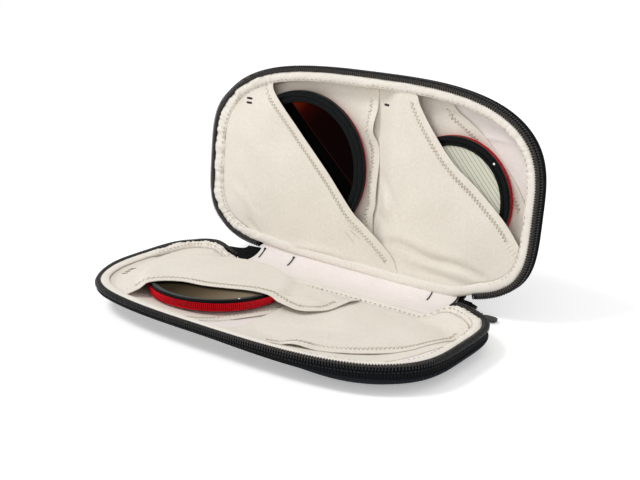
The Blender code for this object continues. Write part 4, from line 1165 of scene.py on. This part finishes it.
BASE_RIGHT_EDGE = [(0.0180, 0.0478), (0.0280, 0.0395), (0.0361, 0.0335), (0.0443, 0.0300), (0.0517, 0.0258),
                   (0.0596, 0.0208), (0.0667, 0.0149), (0.0726, 0.0094), (0.0800, 0.0020), (0.0843, -0.0050),
                   (0.0900, -0.0204), (0.0935, -0.0290)]
BASE_LEFT_BACK_EDGE = [(-0.0200, 0.0460), (-0.0110, 0.0240), (-0.0035, 0.0103), (-0.0003, 0.0040),
                       (0.0033, -0.0027), (0.0067, -0.0082), (0.0109, -0.0127), (0.0140, -0.0250),
                       (0.0080, -0.0370)]


def left_seam(edge):
    """Seam lengths from an edge's head round the left end to its foot."""
    first, last = rim_s(*edge[0]), rim_s(*edge[-1])
    if last < first:
        last += RIM_LENGTH
    return np.linspace(first, last, SEAM_STEPS)


def right_seam(hidden_x, edge):
    """Seam lengths from the spine side round the right end to an edge's foot."""
    return np.linspace(rim_s(hidden_x, -RIM_BACK_REACH), rim_s(*edge[-1]), SEAM_STEPS)


def right_free(half, hidden_x, edge):
    """Outline of a right panel's other sides: the hidden one, then the free edge."""
    head_s, hidden_s = rim_s(*edge[0]), rim_s(hidden_x, RIM_FRONT_REACH)
    run = np.linspace(hidden_s, head_s, 30)
    grow, _ = half.seam(run)
    x, v = rim_at(run, grow)
    return np.concatenate([np.stack([x, v], axis=-1)[:-1], curve_through(edge, EDGE_STEPS)])


def make_lid_pockets():
    left_folds = [
        Fold([(-0.0865, -0.0137), (-0.0790, -0.0194), (-0.0731, -0.0268), (-0.0650, -0.0309)],
             0.0020, -0.0010),
        Fold([(-0.0850, -0.0180), (-0.0780, -0.0240), (-0.0720, -0.0310)], 0.0026, 0.0019),
        Fold([(-0.0760, -0.0360), (-0.0720, -0.0395), (-0.0657, -0.0440)], 0.0016, -0.0015),
        Fold([(-0.0500, -0.0470), (-0.0250, -0.0440), (0.0000, -0.0450)], 0.0022, 0.0012),
        Fold([(-0.0560, 0.0290), (-0.0300, 0.0030), (-0.0020, -0.0240)], 0.0060, -0.0007),
        Fold([(-0.0900, 0.0200), (-0.0700, 0.0050), (-0.0450, -0.0100)], 0.0080, 0.0009),
    ]
    edge = curve_through(LID_LEFT_EDGE, EDGE_STEPS)
    front = Pocket(LID, "pocket_2_front_cloth", left_seam(LID_LEFT_EDGE), edge, level=0.0124,
                   folds=left_folds, seed=3)
    make_panel(front, columns=150, rows=46, crowded=8)
    zigzag(front, (0.04, 0.93))
    for number, height in enumerate((0.03335, 0.03085)):
        mark(front, f"tally_2_{number}", (-0.0790, height), 0.0043)
    bar_rows = (((-0.0066, -0.0310), (0.0001, -0.0359)), ((-0.0036, -0.0294), (0.0033, -0.0330)),
                ((-0.0050, -0.0268), (0.0020, -0.0300)))
    for number, (first, last) in enumerate(bar_rows):
        row_of_stitches(front, f"pocket_2_bar_{number}", first, last)
    edge = curve_through(LID_LEFT_BACK_EDGE, EDGE_STEPS)

    def lifted(x, v):
        upper = np.exp(-((v - 0.0290) / 0.0080) ** 2)
        lower = np.exp(-((v + 0.0060) / 0.0130) ** 2)
        return 0.0010 + 0.0030 * upper + 0.0026 * lower
    back = Pocket(LID, "pocket_2_back_cloth", left_seam(LID_LEFT_BACK_EDGE), edge, level=0.0046,
                  free_level=lifted, seed=7, seam_level=BACK_SEAM_HEIGHT)
    make_panel(back, columns=120, rows=40, crowded=8)
    zigzag(back, (0.05, 0.85))
    right_folds = [
        Fold([(0.0148, -0.0299), (0.0309, -0.0315), (0.0467, -0.0351), (0.0617, -0.0352), (0.0803, -0.0393)],
             0.0022, -0.0019),
        Fold([(0.0200, -0.0270), (0.0450, -0.0310), (0.0700, -0.0330)], 0.0040, 0.0010),
        Fold([(0.0298, -0.0415), (0.0501, -0.0426), (0.0666, -0.0443), (0.0774, -0.0432)], 0.0018, -0.0012),
        Fold([(0.0350, -0.0385), (0.0530, -0.0390), (0.0700, -0.0400)], 0.0024, 0.0009),
        Fold([(0.0105, 0.0030), (0.0168, -0.0031), (0.0205, -0.0110), (0.0243, -0.0211)], 0.0026, -0.0015),
        Fold([(0.0126, -0.0086), (0.0160, -0.0110), (0.0194, -0.0160)], 0.0024, 0.0014),
        Fold([(0.0084, -0.0172), (0.0150, -0.0200), (0.0194, -0.0223)], 0.0020, -0.0008),
        Fold([(0.0112, -0.0298), (0.0180, -0.0290), (0.0252, -0.0302)], 0.0020, 0.0008),
        Fold([(0.0250, 0.0250), (0.0400, 0.0050), (0.0600, -0.0100)], 0.0090, 0.0006),
    ]

    def rising(x, v):
        return 0.0049 + (0.0116 - 0.0049) * smooth_step(0.003, 0.021, x)
    free = right_free(LID, FRONT_HEAD, LID_RIGHT_EDGE)
    front = Pocket(LID, "pocket_1_front_cloth", right_seam(FRONT_HEAD, LID_RIGHT_EDGE), free, rising,
                   right_folds, seed=12)
    make_panel(front, columns=160, rows=50)
    mark(front, "tally_1", (0.0092, 0.0402), 0.0043)
    front.free = curve_through(LID_RIGHT_EDGE, EDGE_STEPS)
    zigzag(front, (0.03, 0.95))
    free = right_free(LID, BACK_HEAD, RIGHT_BACK_EDGE)
    back = Pocket(LID, "pocket_1_back_cloth", right_seam(BACK_HEAD, RIGHT_BACK_EDGE), free,
                  BACK_SEAM_HEIGHT, seed=15, seam_level=BACK_SEAM_HEIGHT)
    make_panel(back, columns=100, rows=30)
    back.free = curve_through(RIGHT_BACK_EDGE, EDGE_STEPS)
    zigzag(back, (0.03, 0.95))


def make_base_pockets():
    edge = curve_through(BASE_LEFT_EDGE, EDGE_STEPS)

    def over_filter(x, v):
        back = 0.0100 + 0.0010 * smooth_step(-0.04, 0.01, v)
        low = smooth_step(-0.006, 0.022, x)
        return back * (1 - low) + 0.0072 * low

    def gaping(x, v):
        return 0.0009 * np.exp(-((x + 0.045) / 0.020) ** 2)
    folds = [
        Fold([(-0.0080, -0.0040), (0.0040, -0.0160), (0.0160, -0.0300)], 0.0030, -0.0012),
        Fold([(-0.0020, -0.0020), (0.0060, -0.0120), (0.0180, -0.0180)], 0.0035, 0.0009),
        Fold([(-0.0880, -0.0200), (-0.0700, -0.0250), (-0.0450, -0.0260)], 0.0050, 0.0006),
    ]
    covered = Disc(3, BASE_FILTER_DEPTH, BASE_FILTER_RADIUS, BASE, MIDDLE_TILT_DEG)
    front = Pocket(BASE, "pocket_4_front_cloth", left_seam(BASE_LEFT_EDGE), edge, over_filter, folds, gaping,
                   seed=23, disc=covered)
    make_panel(front, columns=150, rows=46, crowded=8)
    zigzag(front, (0.08, 0.90))
    bars = ((-0.0851, 0.0225), (-0.0865, 0.0198), (-0.0878, 0.0170), (-0.0884, 0.0146))
    for bar, place in enumerate(bars, start=1):
        mark(front, f"tally_4_bar_{bar}", place, 0.0042, -0.65)
    edge = curve_through(BASE_LEFT_BACK_EDGE, EDGE_STEPS)
    back = Pocket(BASE, "pocket_4_back_cloth", left_seam(BASE_LEFT_BACK_EDGE), edge, BACK_LEVEL, seed=27,
                  ripple=0.00004, seam_level=BACK_SEAM_HEIGHT)
    make_panel(back, columns=110, rows=36, crowded=8)
    zigzag(back, (0.05, 0.9))
    long_folds = [
        Fold([(0.0100, 0.0300), (0.0300, 0.0200), (0.0500, 0.0140)], 0.0040, 0.0004),
        Fold([(0.0100, 0.0200), (0.0350, 0.0080), (0.0600, 0.0000)], 0.0040, -0.0004),
    ]

    def rising(x, v):
        share = smooth_step(0.004, 0.030, x) * smooth_step(-0.036, -0.016, v)
        return 0.0052 + 0.0010 * share

    def near_edge(x, v):
        return -0.0010 + 0.0024 * np.exp(-((x - 0.036) / 0.009) ** 2)
    free = right_free(BASE, FRONT_HEAD, BASE_RIGHT_EDGE)
    front = Pocket(BASE, "pocket_3_front_cloth", right_seam(FRONT_HEAD, BASE_RIGHT_EDGE), free, rising,
                   long_folds, near_edge, seed=32)
    make_panel(front, columns=160, rows=50)
    front.free = curve_through(BASE_RIGHT_EDGE, EDGE_STEPS)
    zigzag(front, (0.10, 0.96))
    free = right_free(BASE, BACK_HEAD, RIGHT_BACK_EDGE)
    back = Pocket(BASE, "pocket_3_back_cloth", right_seam(BACK_HEAD, RIGHT_BACK_EDGE), free, BACK_LEVEL,
                  seed=35, ripple=0.00004, seam_level=BACK_SEAM_HEIGHT)
    make_panel(back, columns=100, rows=30)


def make_lining(half):
    """Flat lining sheet inside the border, with a few soft creases."""
    columns, rows = 300, 40
    s = np.linspace(0.0, RIM_LENGTH, columns)
    x0, v0 = rim_at(s, np.full(columns, -0.0042))
    share = np.linspace(1.0, 0.02, rows)[:, None]
    x, v = x0 * share, v0 * share
    folds = [
        Fold([(0.0454, 0.0419), (0.0596, 0.0322), (0.0730, 0.0312), (0.0870, 0.0303)], 0.0012, 0.0010),
        Fold([(0.0627, 0.0422), (0.0810, 0.0345), (0.0901, 0.0226)], 0.0012, 0.0010),
        Fold([(0.0560, 0.0350), (0.0720, 0.0290), (0.0880, 0.0200)], 0.0030, -0.0005),
    ]
    h = np.full(x.shape, LINING_HEIGHT) + sum(fold.at(x, v) for fold in folds)
    h = h + floor_at(half, x, v) - LINING_HEIGHT
    piece = cloth(half.body + "_lining_cloth", half, x, v, h, half.body, LINING_CLOTH,
                  (half.body + "_lining",), rounded=False)
    sheet_of(x, v, h, half)


# Filters


class Turned:
    """Turned pieces about a filter's axis, on a body."""

    def __init__(self, half, centre, tilt_deg=0.0):
        self.centre = np.array(centre)
        self.normal = Matrix.Rotation(radians(tilt_deg), 3, "X") @ Vector(half.inward)
        self.across = Vector((1.0, 0.0, 0.0))
        self.along = self.normal.cross(self.across)

    def place(self, x, y, z):
        x, y, z = (np.asarray(a, float)[..., None] for a in (x, y, z))
        return self.centre + x * np.array(self.across) + y * np.array(self.along) + z * np.array(self.normal)


def ring(name, turned, profile, body, slot, material, replaced, knurl_rows=()):
    """Ring from a closed run of (radius, z); knurled rows get cut grooves, and on the first knurled row the groove
    bottoms take a darker red as painted shade.
    """
    turn = np.linspace(0, 2 * pi, RING_STEPS, endpoint=False)
    groove = np.clip(0.5 + 1.2 * np.cos(turn * KNURL_COUNT), 0.0, 1.0)
    points = []
    for row, (radius, z) in enumerate(profile):
        r = radius - (KNURL_DEPTH * (1 - groove) if row in knurl_rows else 0.0)
        points.append(turned.place(r * np.cos(turn), r * np.sin(turn), np.full(RING_STEPS, z)))
    faces = grid_faces(len(profile), RING_STEPS, wrap_rows=True, wrap_columns=True)
    piece = facing_out(new_mesh(name, np.array(points), faces, body, material, replaced))
    if knurl_rows:
        # Painted shade: the groove bottoms of the first knurled row take a darker red.
        piece.data.materials.append(RED_GROOVE_PAINTED_SHADE)
        for column in range(0, RING_STEPS, 3):
            piece.data.polygons[knurl_rows[0] * RING_STEPS + column + 1].material_index = 1
    sharp = piece.modifiers.new("edges", "EDGE_SPLIT")
    sharp.split_angle = radians(32)
    return piece


def pane(name, turned, radius, z, body, material, replaced):
    """Glass disc with a slight crown; its uv is centred, in metres."""
    rings, steps = 10, 96
    points, uv = [turned.place(0.0, 0.0, z + 0.0002)], [(0.0, 0.0)]
    for number in range(1, rings + 1):
        share = number / rings
        for step in range(steps):
            turn = 2 * pi * step / steps
            x, y = radius * share * cos(turn), radius * share * sin(turn)
            points.append(turned.place(x, y, z + 0.0002 * (1 - share * share)))
            uv.append((x, y))
    faces = [(0, 1 + step, 1 + (step + 1) % steps) for step in range(steps)]
    for number in range(rings - 1):
        for step in range(steps):
            a, b = 1 + number * steps + step, 1 + number * steps + (step + 1) % steps
            faces.append((a, a + steps, b + steps, b))
    return new_mesh(name, np.array(points), faces, body, material, replaced, uv)


def make_filter(number, half, radius, depth, lip, proud, split, glass, dot_deg, tilt_deg=0.0):
    """One filter: proud is how far the red grip stands out beyond the black rim."""
    centre = np.array(JOINTS[f"filter_{number}_turn"]["pos_m"])
    turned = Turned(half, centre, tilt_deg)
    rear, front = f"filter_{number}_rear", f"filter_{number}_front"
    bore, seat = radius - 0.0048, radius - 0.0034
    rim = radius - 0.0002
    grip = rim + proud
    ring(f"{rear}_grip", turned, [
        (bore, 0.0), (grip - 0.0012, 0.0), (grip - 0.0010, 0.0004), (grip - 0.0002, 0.0006), (grip, 0.0008),
        (grip, split - 0.0003), (grip - 0.0003, split - 0.0001), (seat, split - 0.0001), (seat, 0.0015),
        (bore, 0.0015)],
        rear, "red_metal", RED_METAL, (f"filter_{number}_rear_ring",), (4, 5))
    ring(f"{front}_rim", turned, [
        (seat - 0.0001, split), (rim - 0.0003, split), (rim, split + 0.0002), (rim, depth - 0.0009),
        (rim - 0.0003, depth - 0.0007), (rim - 0.0003, depth - 0.0004), (rim - 0.0006, depth),
        (seat + 0.0009, depth), (seat + 0.0006, depth - 0.0002), (seat, depth - 0.0005),
        (seat - 0.0001, split + 0.0002)],
        front, "black_metal", BLACK_METAL, (f"filter_{number}_front_ring",))
    top = min(0.0056, depth - 0.0008)
    inner = radius - lip
    ring(f"{front}_lock", turned, [
        (inner, top - 0.0001), (seat - 0.0002, top - 0.0001), (seat - 0.0002, top + 0.0004),
        (inner + 0.0012, top + 0.0004), (inner + 0.0010, top + 0.0002), (inner + 0.0002, top + 0.0002)],
        front, "black_metal", BLACK_METAL, (f"filter_{number}_retainer",))
    pane(f"{front}_pane", turned, inner + 0.0008, top - 0.0005, front, glass,
         (f"filter_{number}_front_glass",))
    angle = radians(dot_deg)
    place = turned.place((seat + radius) / 2 * cos(angle), (seat + radius) / 2 * sin(angle), depth)
    make_dot(f"filter_{number}_index_dot", place, turned.normal, 0.0006, front)


def make_dot(name, place, normal, radius, body):
    """Low painted dome."""
    steps, points = 16, []
    side = Vector(normal).orthogonal().normalized()
    other = Vector(normal).cross(side)
    place = Vector(place)
    for share, lift in ((1.0, 0.0), (0.8, 0.00008), (0.4, 0.00014)):
        for step in range(steps):
            turn = 2 * pi * step / steps
            out = (side * cos(turn) + other * sin(turn)) * radius * share
            points.append(place + out + Vector(normal) * lift)
    points.append(place + Vector(normal) * 0.00016)
    faces = grid_faces(3, steps, wrap_columns=True)
    faces += [(2 * steps + step, 2 * steps + (step + 1) % steps, 3 * steps) for step in range(steps)]
    new_mesh(name, points, faces, body, WHITE_PAINT)


# Spine


SPINE_LINE = [(0.0440, 0.0046), (0.0490, 0.0046), (0.0530, 0.0043), (0.0580, 0.0043), (0.0610, 0.0046),
              (0.0640, 0.0053), (0.0665, 0.0064), (0.0685, 0.0079), (0.0699, 0.0098), (0.0708, 0.0120),
              (0.0714, 0.0138)]
TACKS = [((-0.0603, 0.0685), (-0.0600, 0.0650), (-0.0593, 0.0617), 0.00030),
         ((-0.0390, 0.0678), (-0.0387, 0.0645), (-0.0382, 0.0612), 0.00030),
         ((0.0506, 0.0682), (0.0507, 0.0655), (0.0507, 0.0630), 0.00030),
         ((0.0655, 0.0690), (0.0650, 0.0665), (0.0640, 0.0632), 0.00055)]
LEVEL = Half("base", origin=(0.0, 0.0, 0.0), along=(0.0, 1.0, 0.0), inward=(0.0, 0.0, 1.0),
             seam_wall=(0.0, 0.0), seam_spine=(0.0, 0.0))
SPINE_RUN = curve_through(SPINE_LINE, 80)


def spine_height(y):
    return np.interp(y, SPINE_RUN[:, 0], SPINE_RUN[:, 1])


def spread_over(x_range, y_range, columns, rows):
    """Grids of x and y over a level oblong, each range cut into equal steps."""
    x, y = np.linspace(*x_range, columns), np.linspace(*y_range, rows)[:, None]
    return np.broadcast_to(x, (rows, columns)), np.broadcast_to(y, (rows, columns))


def make_spine_lining():
    """Cream strip from the base's border to the lid's, bending at the first fold."""
    columns, rows = 260, 60
    x, y = spread_over((-SPINE_HALF_LENGTH + 0.0005, SPINE_HALF_LENGTH + 0.0022),
                       (SPINE_LINE[0][0], SPINE_LINE[-1][0]), columns, rows)
    z = spine_height(y) + 0.00012 * Ripples(61, 0.03).at(x, y)
    for tack in TACKS:
        z = z - 0.0003 * np.exp(-((x - tack[1][0]) / 0.0014) ** 2) * smooth_step(0.0590, 0.0630, y)
    piece = cloth("spine_lining_strip", LEVEL, x, y, z - 0.0006, None, LINING_CLOTH,
                  ("spine_lining",), 0.0006, rounded=False)
    sheet_of(x, y, z, LEVEL)
    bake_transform(piece)


def make_spine_cover():
    """Shell fabric under the spine, from the base's back edge up onto the lid's."""
    line = curve_through([(0.0505, 0.0002), (0.0545, 0.0003), (0.0600, 0.0008), (0.0660, 0.0017),
                          (0.0720, 0.0026), (0.0775, 0.0033), (0.0806, 0.0039), (0.0823, 0.0050),
                          (0.0829, 0.0068), (0.0832, 0.0090)], 90)
    columns = 160
    for part, rows, first, second, begin, finish in (
            ("near", line[:46], "base", "spine", (0.0, 0.0505, 0.0), (0.0, 0.0590, 0.0)),
            ("far", line[45:], "spine", "lid", (0.0, 0.0770, 0.0033), (0.0, 0.0835, 0.0080))):
        x = np.broadcast_to(np.linspace(-SPINE_HALF_LENGTH, SPINE_HALF_LENGTH, columns), (len(rows), columns))
        y, z = (np.broadcast_to(rows[:, axis:axis + 1], x.shape) for axis in (0, 1))
        z = z + 0.00010 * Ripples(90, 0.02).at(x, y)
        piece = cloth(f"spine_cover_{part}", LEVEL, x, y, z, None, SHELL_FABRIC,
                      ("spine_cover",) if part == "near" else (), 0.0007, rounded=False)
        sheet_of(x, y, z, LEVEL)
        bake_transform(piece)


def spine_slab(name, x_range, y_range, under, thickness, material, replaced):
    """Soft-edged strip along the spine, at a depth under its lining."""
    columns, rows = 120, 24
    x, y = spread_over(x_range, y_range, columns, rows)
    low, high = np.array([0.0540, 0.0004]), np.array([0.0816, 0.0045])
    z = low[1] + (high[1] - low[1]) * (y - low[0]) / (high[0] - low[0]) - under
    edge = np.minimum(np.minimum(x - x_range[0], x_range[1] - x), np.minimum(y - y_range[0], y_range[1] - y))
    z = z + 0.00012 * Ripples(92, 0.012).at(x, y) * smooth_step(0.0, 0.004, edge)
    piece = cloth(name, LEVEL, x, y, z, "spine", material, replaced, thickness, rounded=False)
    return piece, x, y, z


def make_spine_inside():
    """Foam pad under the spine's lining, and the woven strap on its outside."""
    pad, *_ = spine_slab("spine_foam", (-0.0620, 0.0620), (0.0585, 0.0715), under=-0.0007, thickness=0.0016,
                         material=LINING_CLOTH, replaced=("spine_pad",))
    strap, x, y, z = spine_slab("spine_webbing", (-0.0593, 0.0633), (0.0634, 0.0750), under=0.0014,
                                thickness=0.0008, material=TAPE_FABRIC,
                                replaced=("spine_strap",))
    sheet_of(x, y, z, LEVEL)


def make_tacks():
    """Bars of stitches across the spine; the left two have a knot at their far end."""
    for number, (*places, wide) in enumerate(TACKS, start=1):
        rng = np.random.default_rng(70 + number)
        run = curve_through(places, 22)
        side = left_of(run) * (wide * np.where(np.arange(22) % 2, 1, -1) * rng.uniform(0.7, 1.1, 22))[:, None]
        flat = run + side
        points = np.concatenate([flat, (spine_height(flat[:, 1]) + 0.00010)[:, None]], axis=1)
        starts, ends = list(points[:-1]), list(points[1:])
        if number < 3:
            head = np.array([*places[0], float(spine_height(places[0][1])) + 0.0003])
            for turn in np.linspace(0, pi, 9)[:-1]:
                reach = 0.00085 * np.array([cos(turn), 0.7 * sin(turn), 0.6 * sin(turn)])
                starts.append(head - reach)
                ends.append(head + reach)
        ups = np.broadcast_to((0.0, -0.50, 0.87), (len(starts), 3))
        piece = stitches(f"spine_tack_{number}_thread", starts, ends, ups, 0.00030, "spine", BLACK_THREAD)
        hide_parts(f"spine_tack_{number}")


def make_web(side):
    """Black tape cloth that joins the zip's ends round one end of the spine."""
    reach = 0.0105 if side < 0 else 0.0095
    outer, inner = side * (SPINE_HALF_LENGTH + reach), side * (SPINE_HALF_LENGTH - 0.0006)
    base_edge = [BASE.place(outer, -RIM_BACK_REACH - 0.0012, 0.0108),
                 BASE.place(inner, -RIM_BACK_REACH + 0.0004, 0.0048)]
    lid_edge = [LID.place(outer, -RIM_BACK_REACH - 0.0012, 0.0118),
                LID.place(inner, -RIM_BACK_REACH - 0.0010, 0.0100)]
    rows, columns = 25, 9
    name = "left" if side < 0 else "right"
    across, down = np.meshgrid(np.linspace(0, 1, columns), np.linspace(0, 1, rows))
    near = base_edge[0] * (1 - across[..., None]) + base_edge[1] * across[..., None]
    far = lid_edge[0] * (1 - across[..., None]) + lid_edge[1] * across[..., None]
    points = near * (1 - down[..., None]) + far * down[..., None]
    sag, waist = 0.0016, 0.0030
    points[..., 2] -= sag * np.sin(pi * down) * (0.4 + 0.6 * across)
    points[..., 0] -= side * waist * np.sin(pi * down) * (1 - across)
    middle = rows // 2 + 1
    halves = (("near", points[:middle], "base", "spine", (0.0, 0.0495, 0.0), (0.0, 0.0600, 0.0)),
              ("far", points[middle - 1:], "spine", "lid", (0.0, 0.0700, 0.0), (0.0, 0.0815, 0.0)))
    for part, grid, first, second, start, end in halves:
        low = grid - np.array([0.0, 0.0, 0.0006])
        both = np.concatenate([grid.reshape(-1, 3), low.reshape(-1, 3)])
        piece = new_mesh(f"zip_web_{name}_{part}", both, sheet_faces(*grid.shape[:2]), None,
                         TAPE_FABRIC, (f"zip_web_{name}",) if part == "near" else (),
                         np.concatenate([grid[..., :2].reshape(-1, 2)] * 2))
        facing_out(piece)
        sheet_of(grid[..., 0], grid[..., 1], grid[..., 2], LEVEL)
        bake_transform(piece)


# Studio


def make_camera():
    """Camera at the photograph's place, looking along its view and rolled a little."""
    azimuth, elevation = radians(CAMERA_AZIMUTH_DEG), radians(CAMERA_ELEVATION_DEG)
    back = Vector((sin(azimuth) * cos(elevation), -cos(azimuth) * cos(elevation), sin(elevation)))
    right = Vector((cos(azimuth), sin(azimuth), 0.0))
    up = back.cross(right)
    roll = radians(CAMERA_ROLL_DEG)
    turned_right = right * cos(roll) + up * sin(roll)
    turned_up = up * cos(roll) - right * sin(roll)
    data = bpy.data.cameras.new("camera")
    data.sensor_width = SENSOR_WIDTH
    data.lens = CAMERA_FOCAL_PX / PICTURE_WIDTH * SENSOR_WIDTH
    data.shift_x = -CAMERA_SHIFT_PX[0] / PICTURE_WIDTH
    data.shift_y = CAMERA_SHIFT_PX[1] / PICTURE_WIDTH
    data.clip_start = 0.01
    camera = bpy.data.objects.new("camera", data)
    bpy.context.scene.collection.objects.link(camera)
    place = Vector(CAMERA_TARGET) + back * CAMERA_DISTANCE
    camera.matrix_world = Matrix((
        (turned_right.x, turned_up.x, back.x, place.x),
        (turned_right.y, turned_up.y, back.y, place.y),
        (turned_right.z, turned_up.z, back.z, place.z),
        (0.0, 0.0, 0.0, 1.0)))
    bpy.context.scene.camera = camera


def area_lamp(name, place, aim, size, power):
    data = bpy.data.lights.new(name, "AREA")
    data.shape = "DISK"
    data.size = size
    data.energy = power
    lamp = bpy.data.objects.new(name, data)
    lamp.location = place
    lamp.rotation_euler = (Vector(aim) - Vector(place)).to_track_quat("-Z", "Y").to_euler()
    bpy.context.scene.collection.objects.link(lamp)


def seen_or_mirrored(nodes):
    """1 for rays from the camera and for those that a gloss or a glass sends on."""
    path = nodes.add("ShaderNodeLightPath").outputs
    total = path["Is Camera Ray"]
    for name in ("Is Glossy Ray", "Is Transmission Ray"):
        total = nodes.math("ADD", total, path[name], clamped=True)
    return total


def make_studio():
    """White surroundings, a key lamp from the upper left and a soft fill from the front."""
    world = bpy.data.worlds.new("studio")
    bpy.context.scene.world = world
    world.use_nodes = True
    nodes = Nodes(world.node_tree)
    background = world.node_tree.nodes["Background"]
    background.inputs["Color"].default_value = (1.0, 1.0, 1.0, 1.0)
    nodes.feed(background.inputs["Strength"], nodes.between(seen_or_mirrored(nodes), WORLD_FILL, 1.0))
    area_lamp("key", place=(-0.40, -0.50, 0.90), aim=(0.0, 0.02, 0.03), size=0.35, power=5.0)
    area_lamp("fill", place=(0.35, -0.95, 0.35), aim=(0.0, 0.05, 0.05), size=0.70, power=1.7)
    make_floor()


def make_floor():
    """Level white table, wide enough to fill the picture."""
    corners = FLOOR_HALF_SIZE * np.array([(-1, -1, 0), (1, -1, 0), (1, 1, 0), (-1, 1, 0)])
    floor = new_mesh("floor", corners, [(0, 1, 2, 3)], None, floor_material(), smooth=False)


def floor_material():
    """White table: matt, and lifted to white where the camera or a gloss sees it."""
    made = new_material("floor", 0.9, 0.1)
    nodes = Nodes(made.node_tree)
    nodes.finish("Base Color", (0.93, 0.93, 0.93))
    nodes.finish("Emission Color", (1.0, 1.0, 1.0))
    nodes.finish("Emission Strength", nodes.math("MULTIPLY", seen_or_mirrored(nodes), FLOOR_GLOW))
    return made


def finish_frame_nodes():
    """Materials of the frame's own pieces that stay in view."""
    looks = {"shell_fabric": SHELL_FABRIC, "board": LINING_CLOTH, "lining": LINING_CLOTH,
             "border": BORDER_CLOTH, "panel": PANEL_CLOTH, "tape": TAPE_FABRIC, "teeth": COIL_NYLON,
             "slider": SLIDER_LACQUER, "thread": BLACK_THREAD, "red_metal": RED_METAL,
             "black_metal": BLACK_METAL, "red_glass": RED_GLASS, "green_glass": LINED_GLASS,
             "brown_glass": BROWN_GLASS}
    for part in frame["record"]["subparts"]:
        node = frame["nodes"][part["node"]]
        for slot in node.material_slots:
            slot.material = looks[part["material_slot"]]


bpy.context.scene.view_settings.view_transform = "Standard"
make_camera()
make_studio()
finish_frame_nodes()
for case_half in (BASE, LID):
    make_shell(case_half)
    make_tape(case_half)
    make_coil(case_half)
    make_lining(case_half)
make_border(BASE, BASE_BORDER_SPINE, base_gathers)
make_border(LID, LID_BORDER_SPINE, lid_gathers)
make_lid_pockets()
make_base_pockets()
make_filter(1, LID, radius=0.0328, depth=0.0055, lip=0.0053, proud=0.0002, split=0.0036, glass=LINED_GLASS,
            dot_deg=45)
make_filter(2, LID, radius=0.0422, depth=0.0062, lip=0.0066, proud=-0.0010, split=0.0032, glass=RED_GLASS,
            dot_deg=200)
make_filter(3, BASE, radius=BASE_FILTER_RADIUS, depth=BASE_FILTER_DEPTH, lip=0.0040, proud=0.0003,
            split=0.0045, glass=BROWN_GLASS, dot_deg=-30, tilt_deg=-MIDDLE_TILT_DEG)
start, end = zip_run(2)
rim_stitches(LID, "lid_border_stitches", wall=(-0.0050, 0.0131), spine=(-0.0012, 0.0128),
             first=start + 0.01, last=end - 0.01)
rim_stitches(BASE, "base_border_stitches", wall=(-0.0052, 0.0130), spine=(-0.0116, 0.0056),
             first=0.0, last=RIM_LENGTH)
make_spine_lining()
make_spine_cover()
make_spine_inside()
make_tacks()
make_web(-1)
make_web(1)
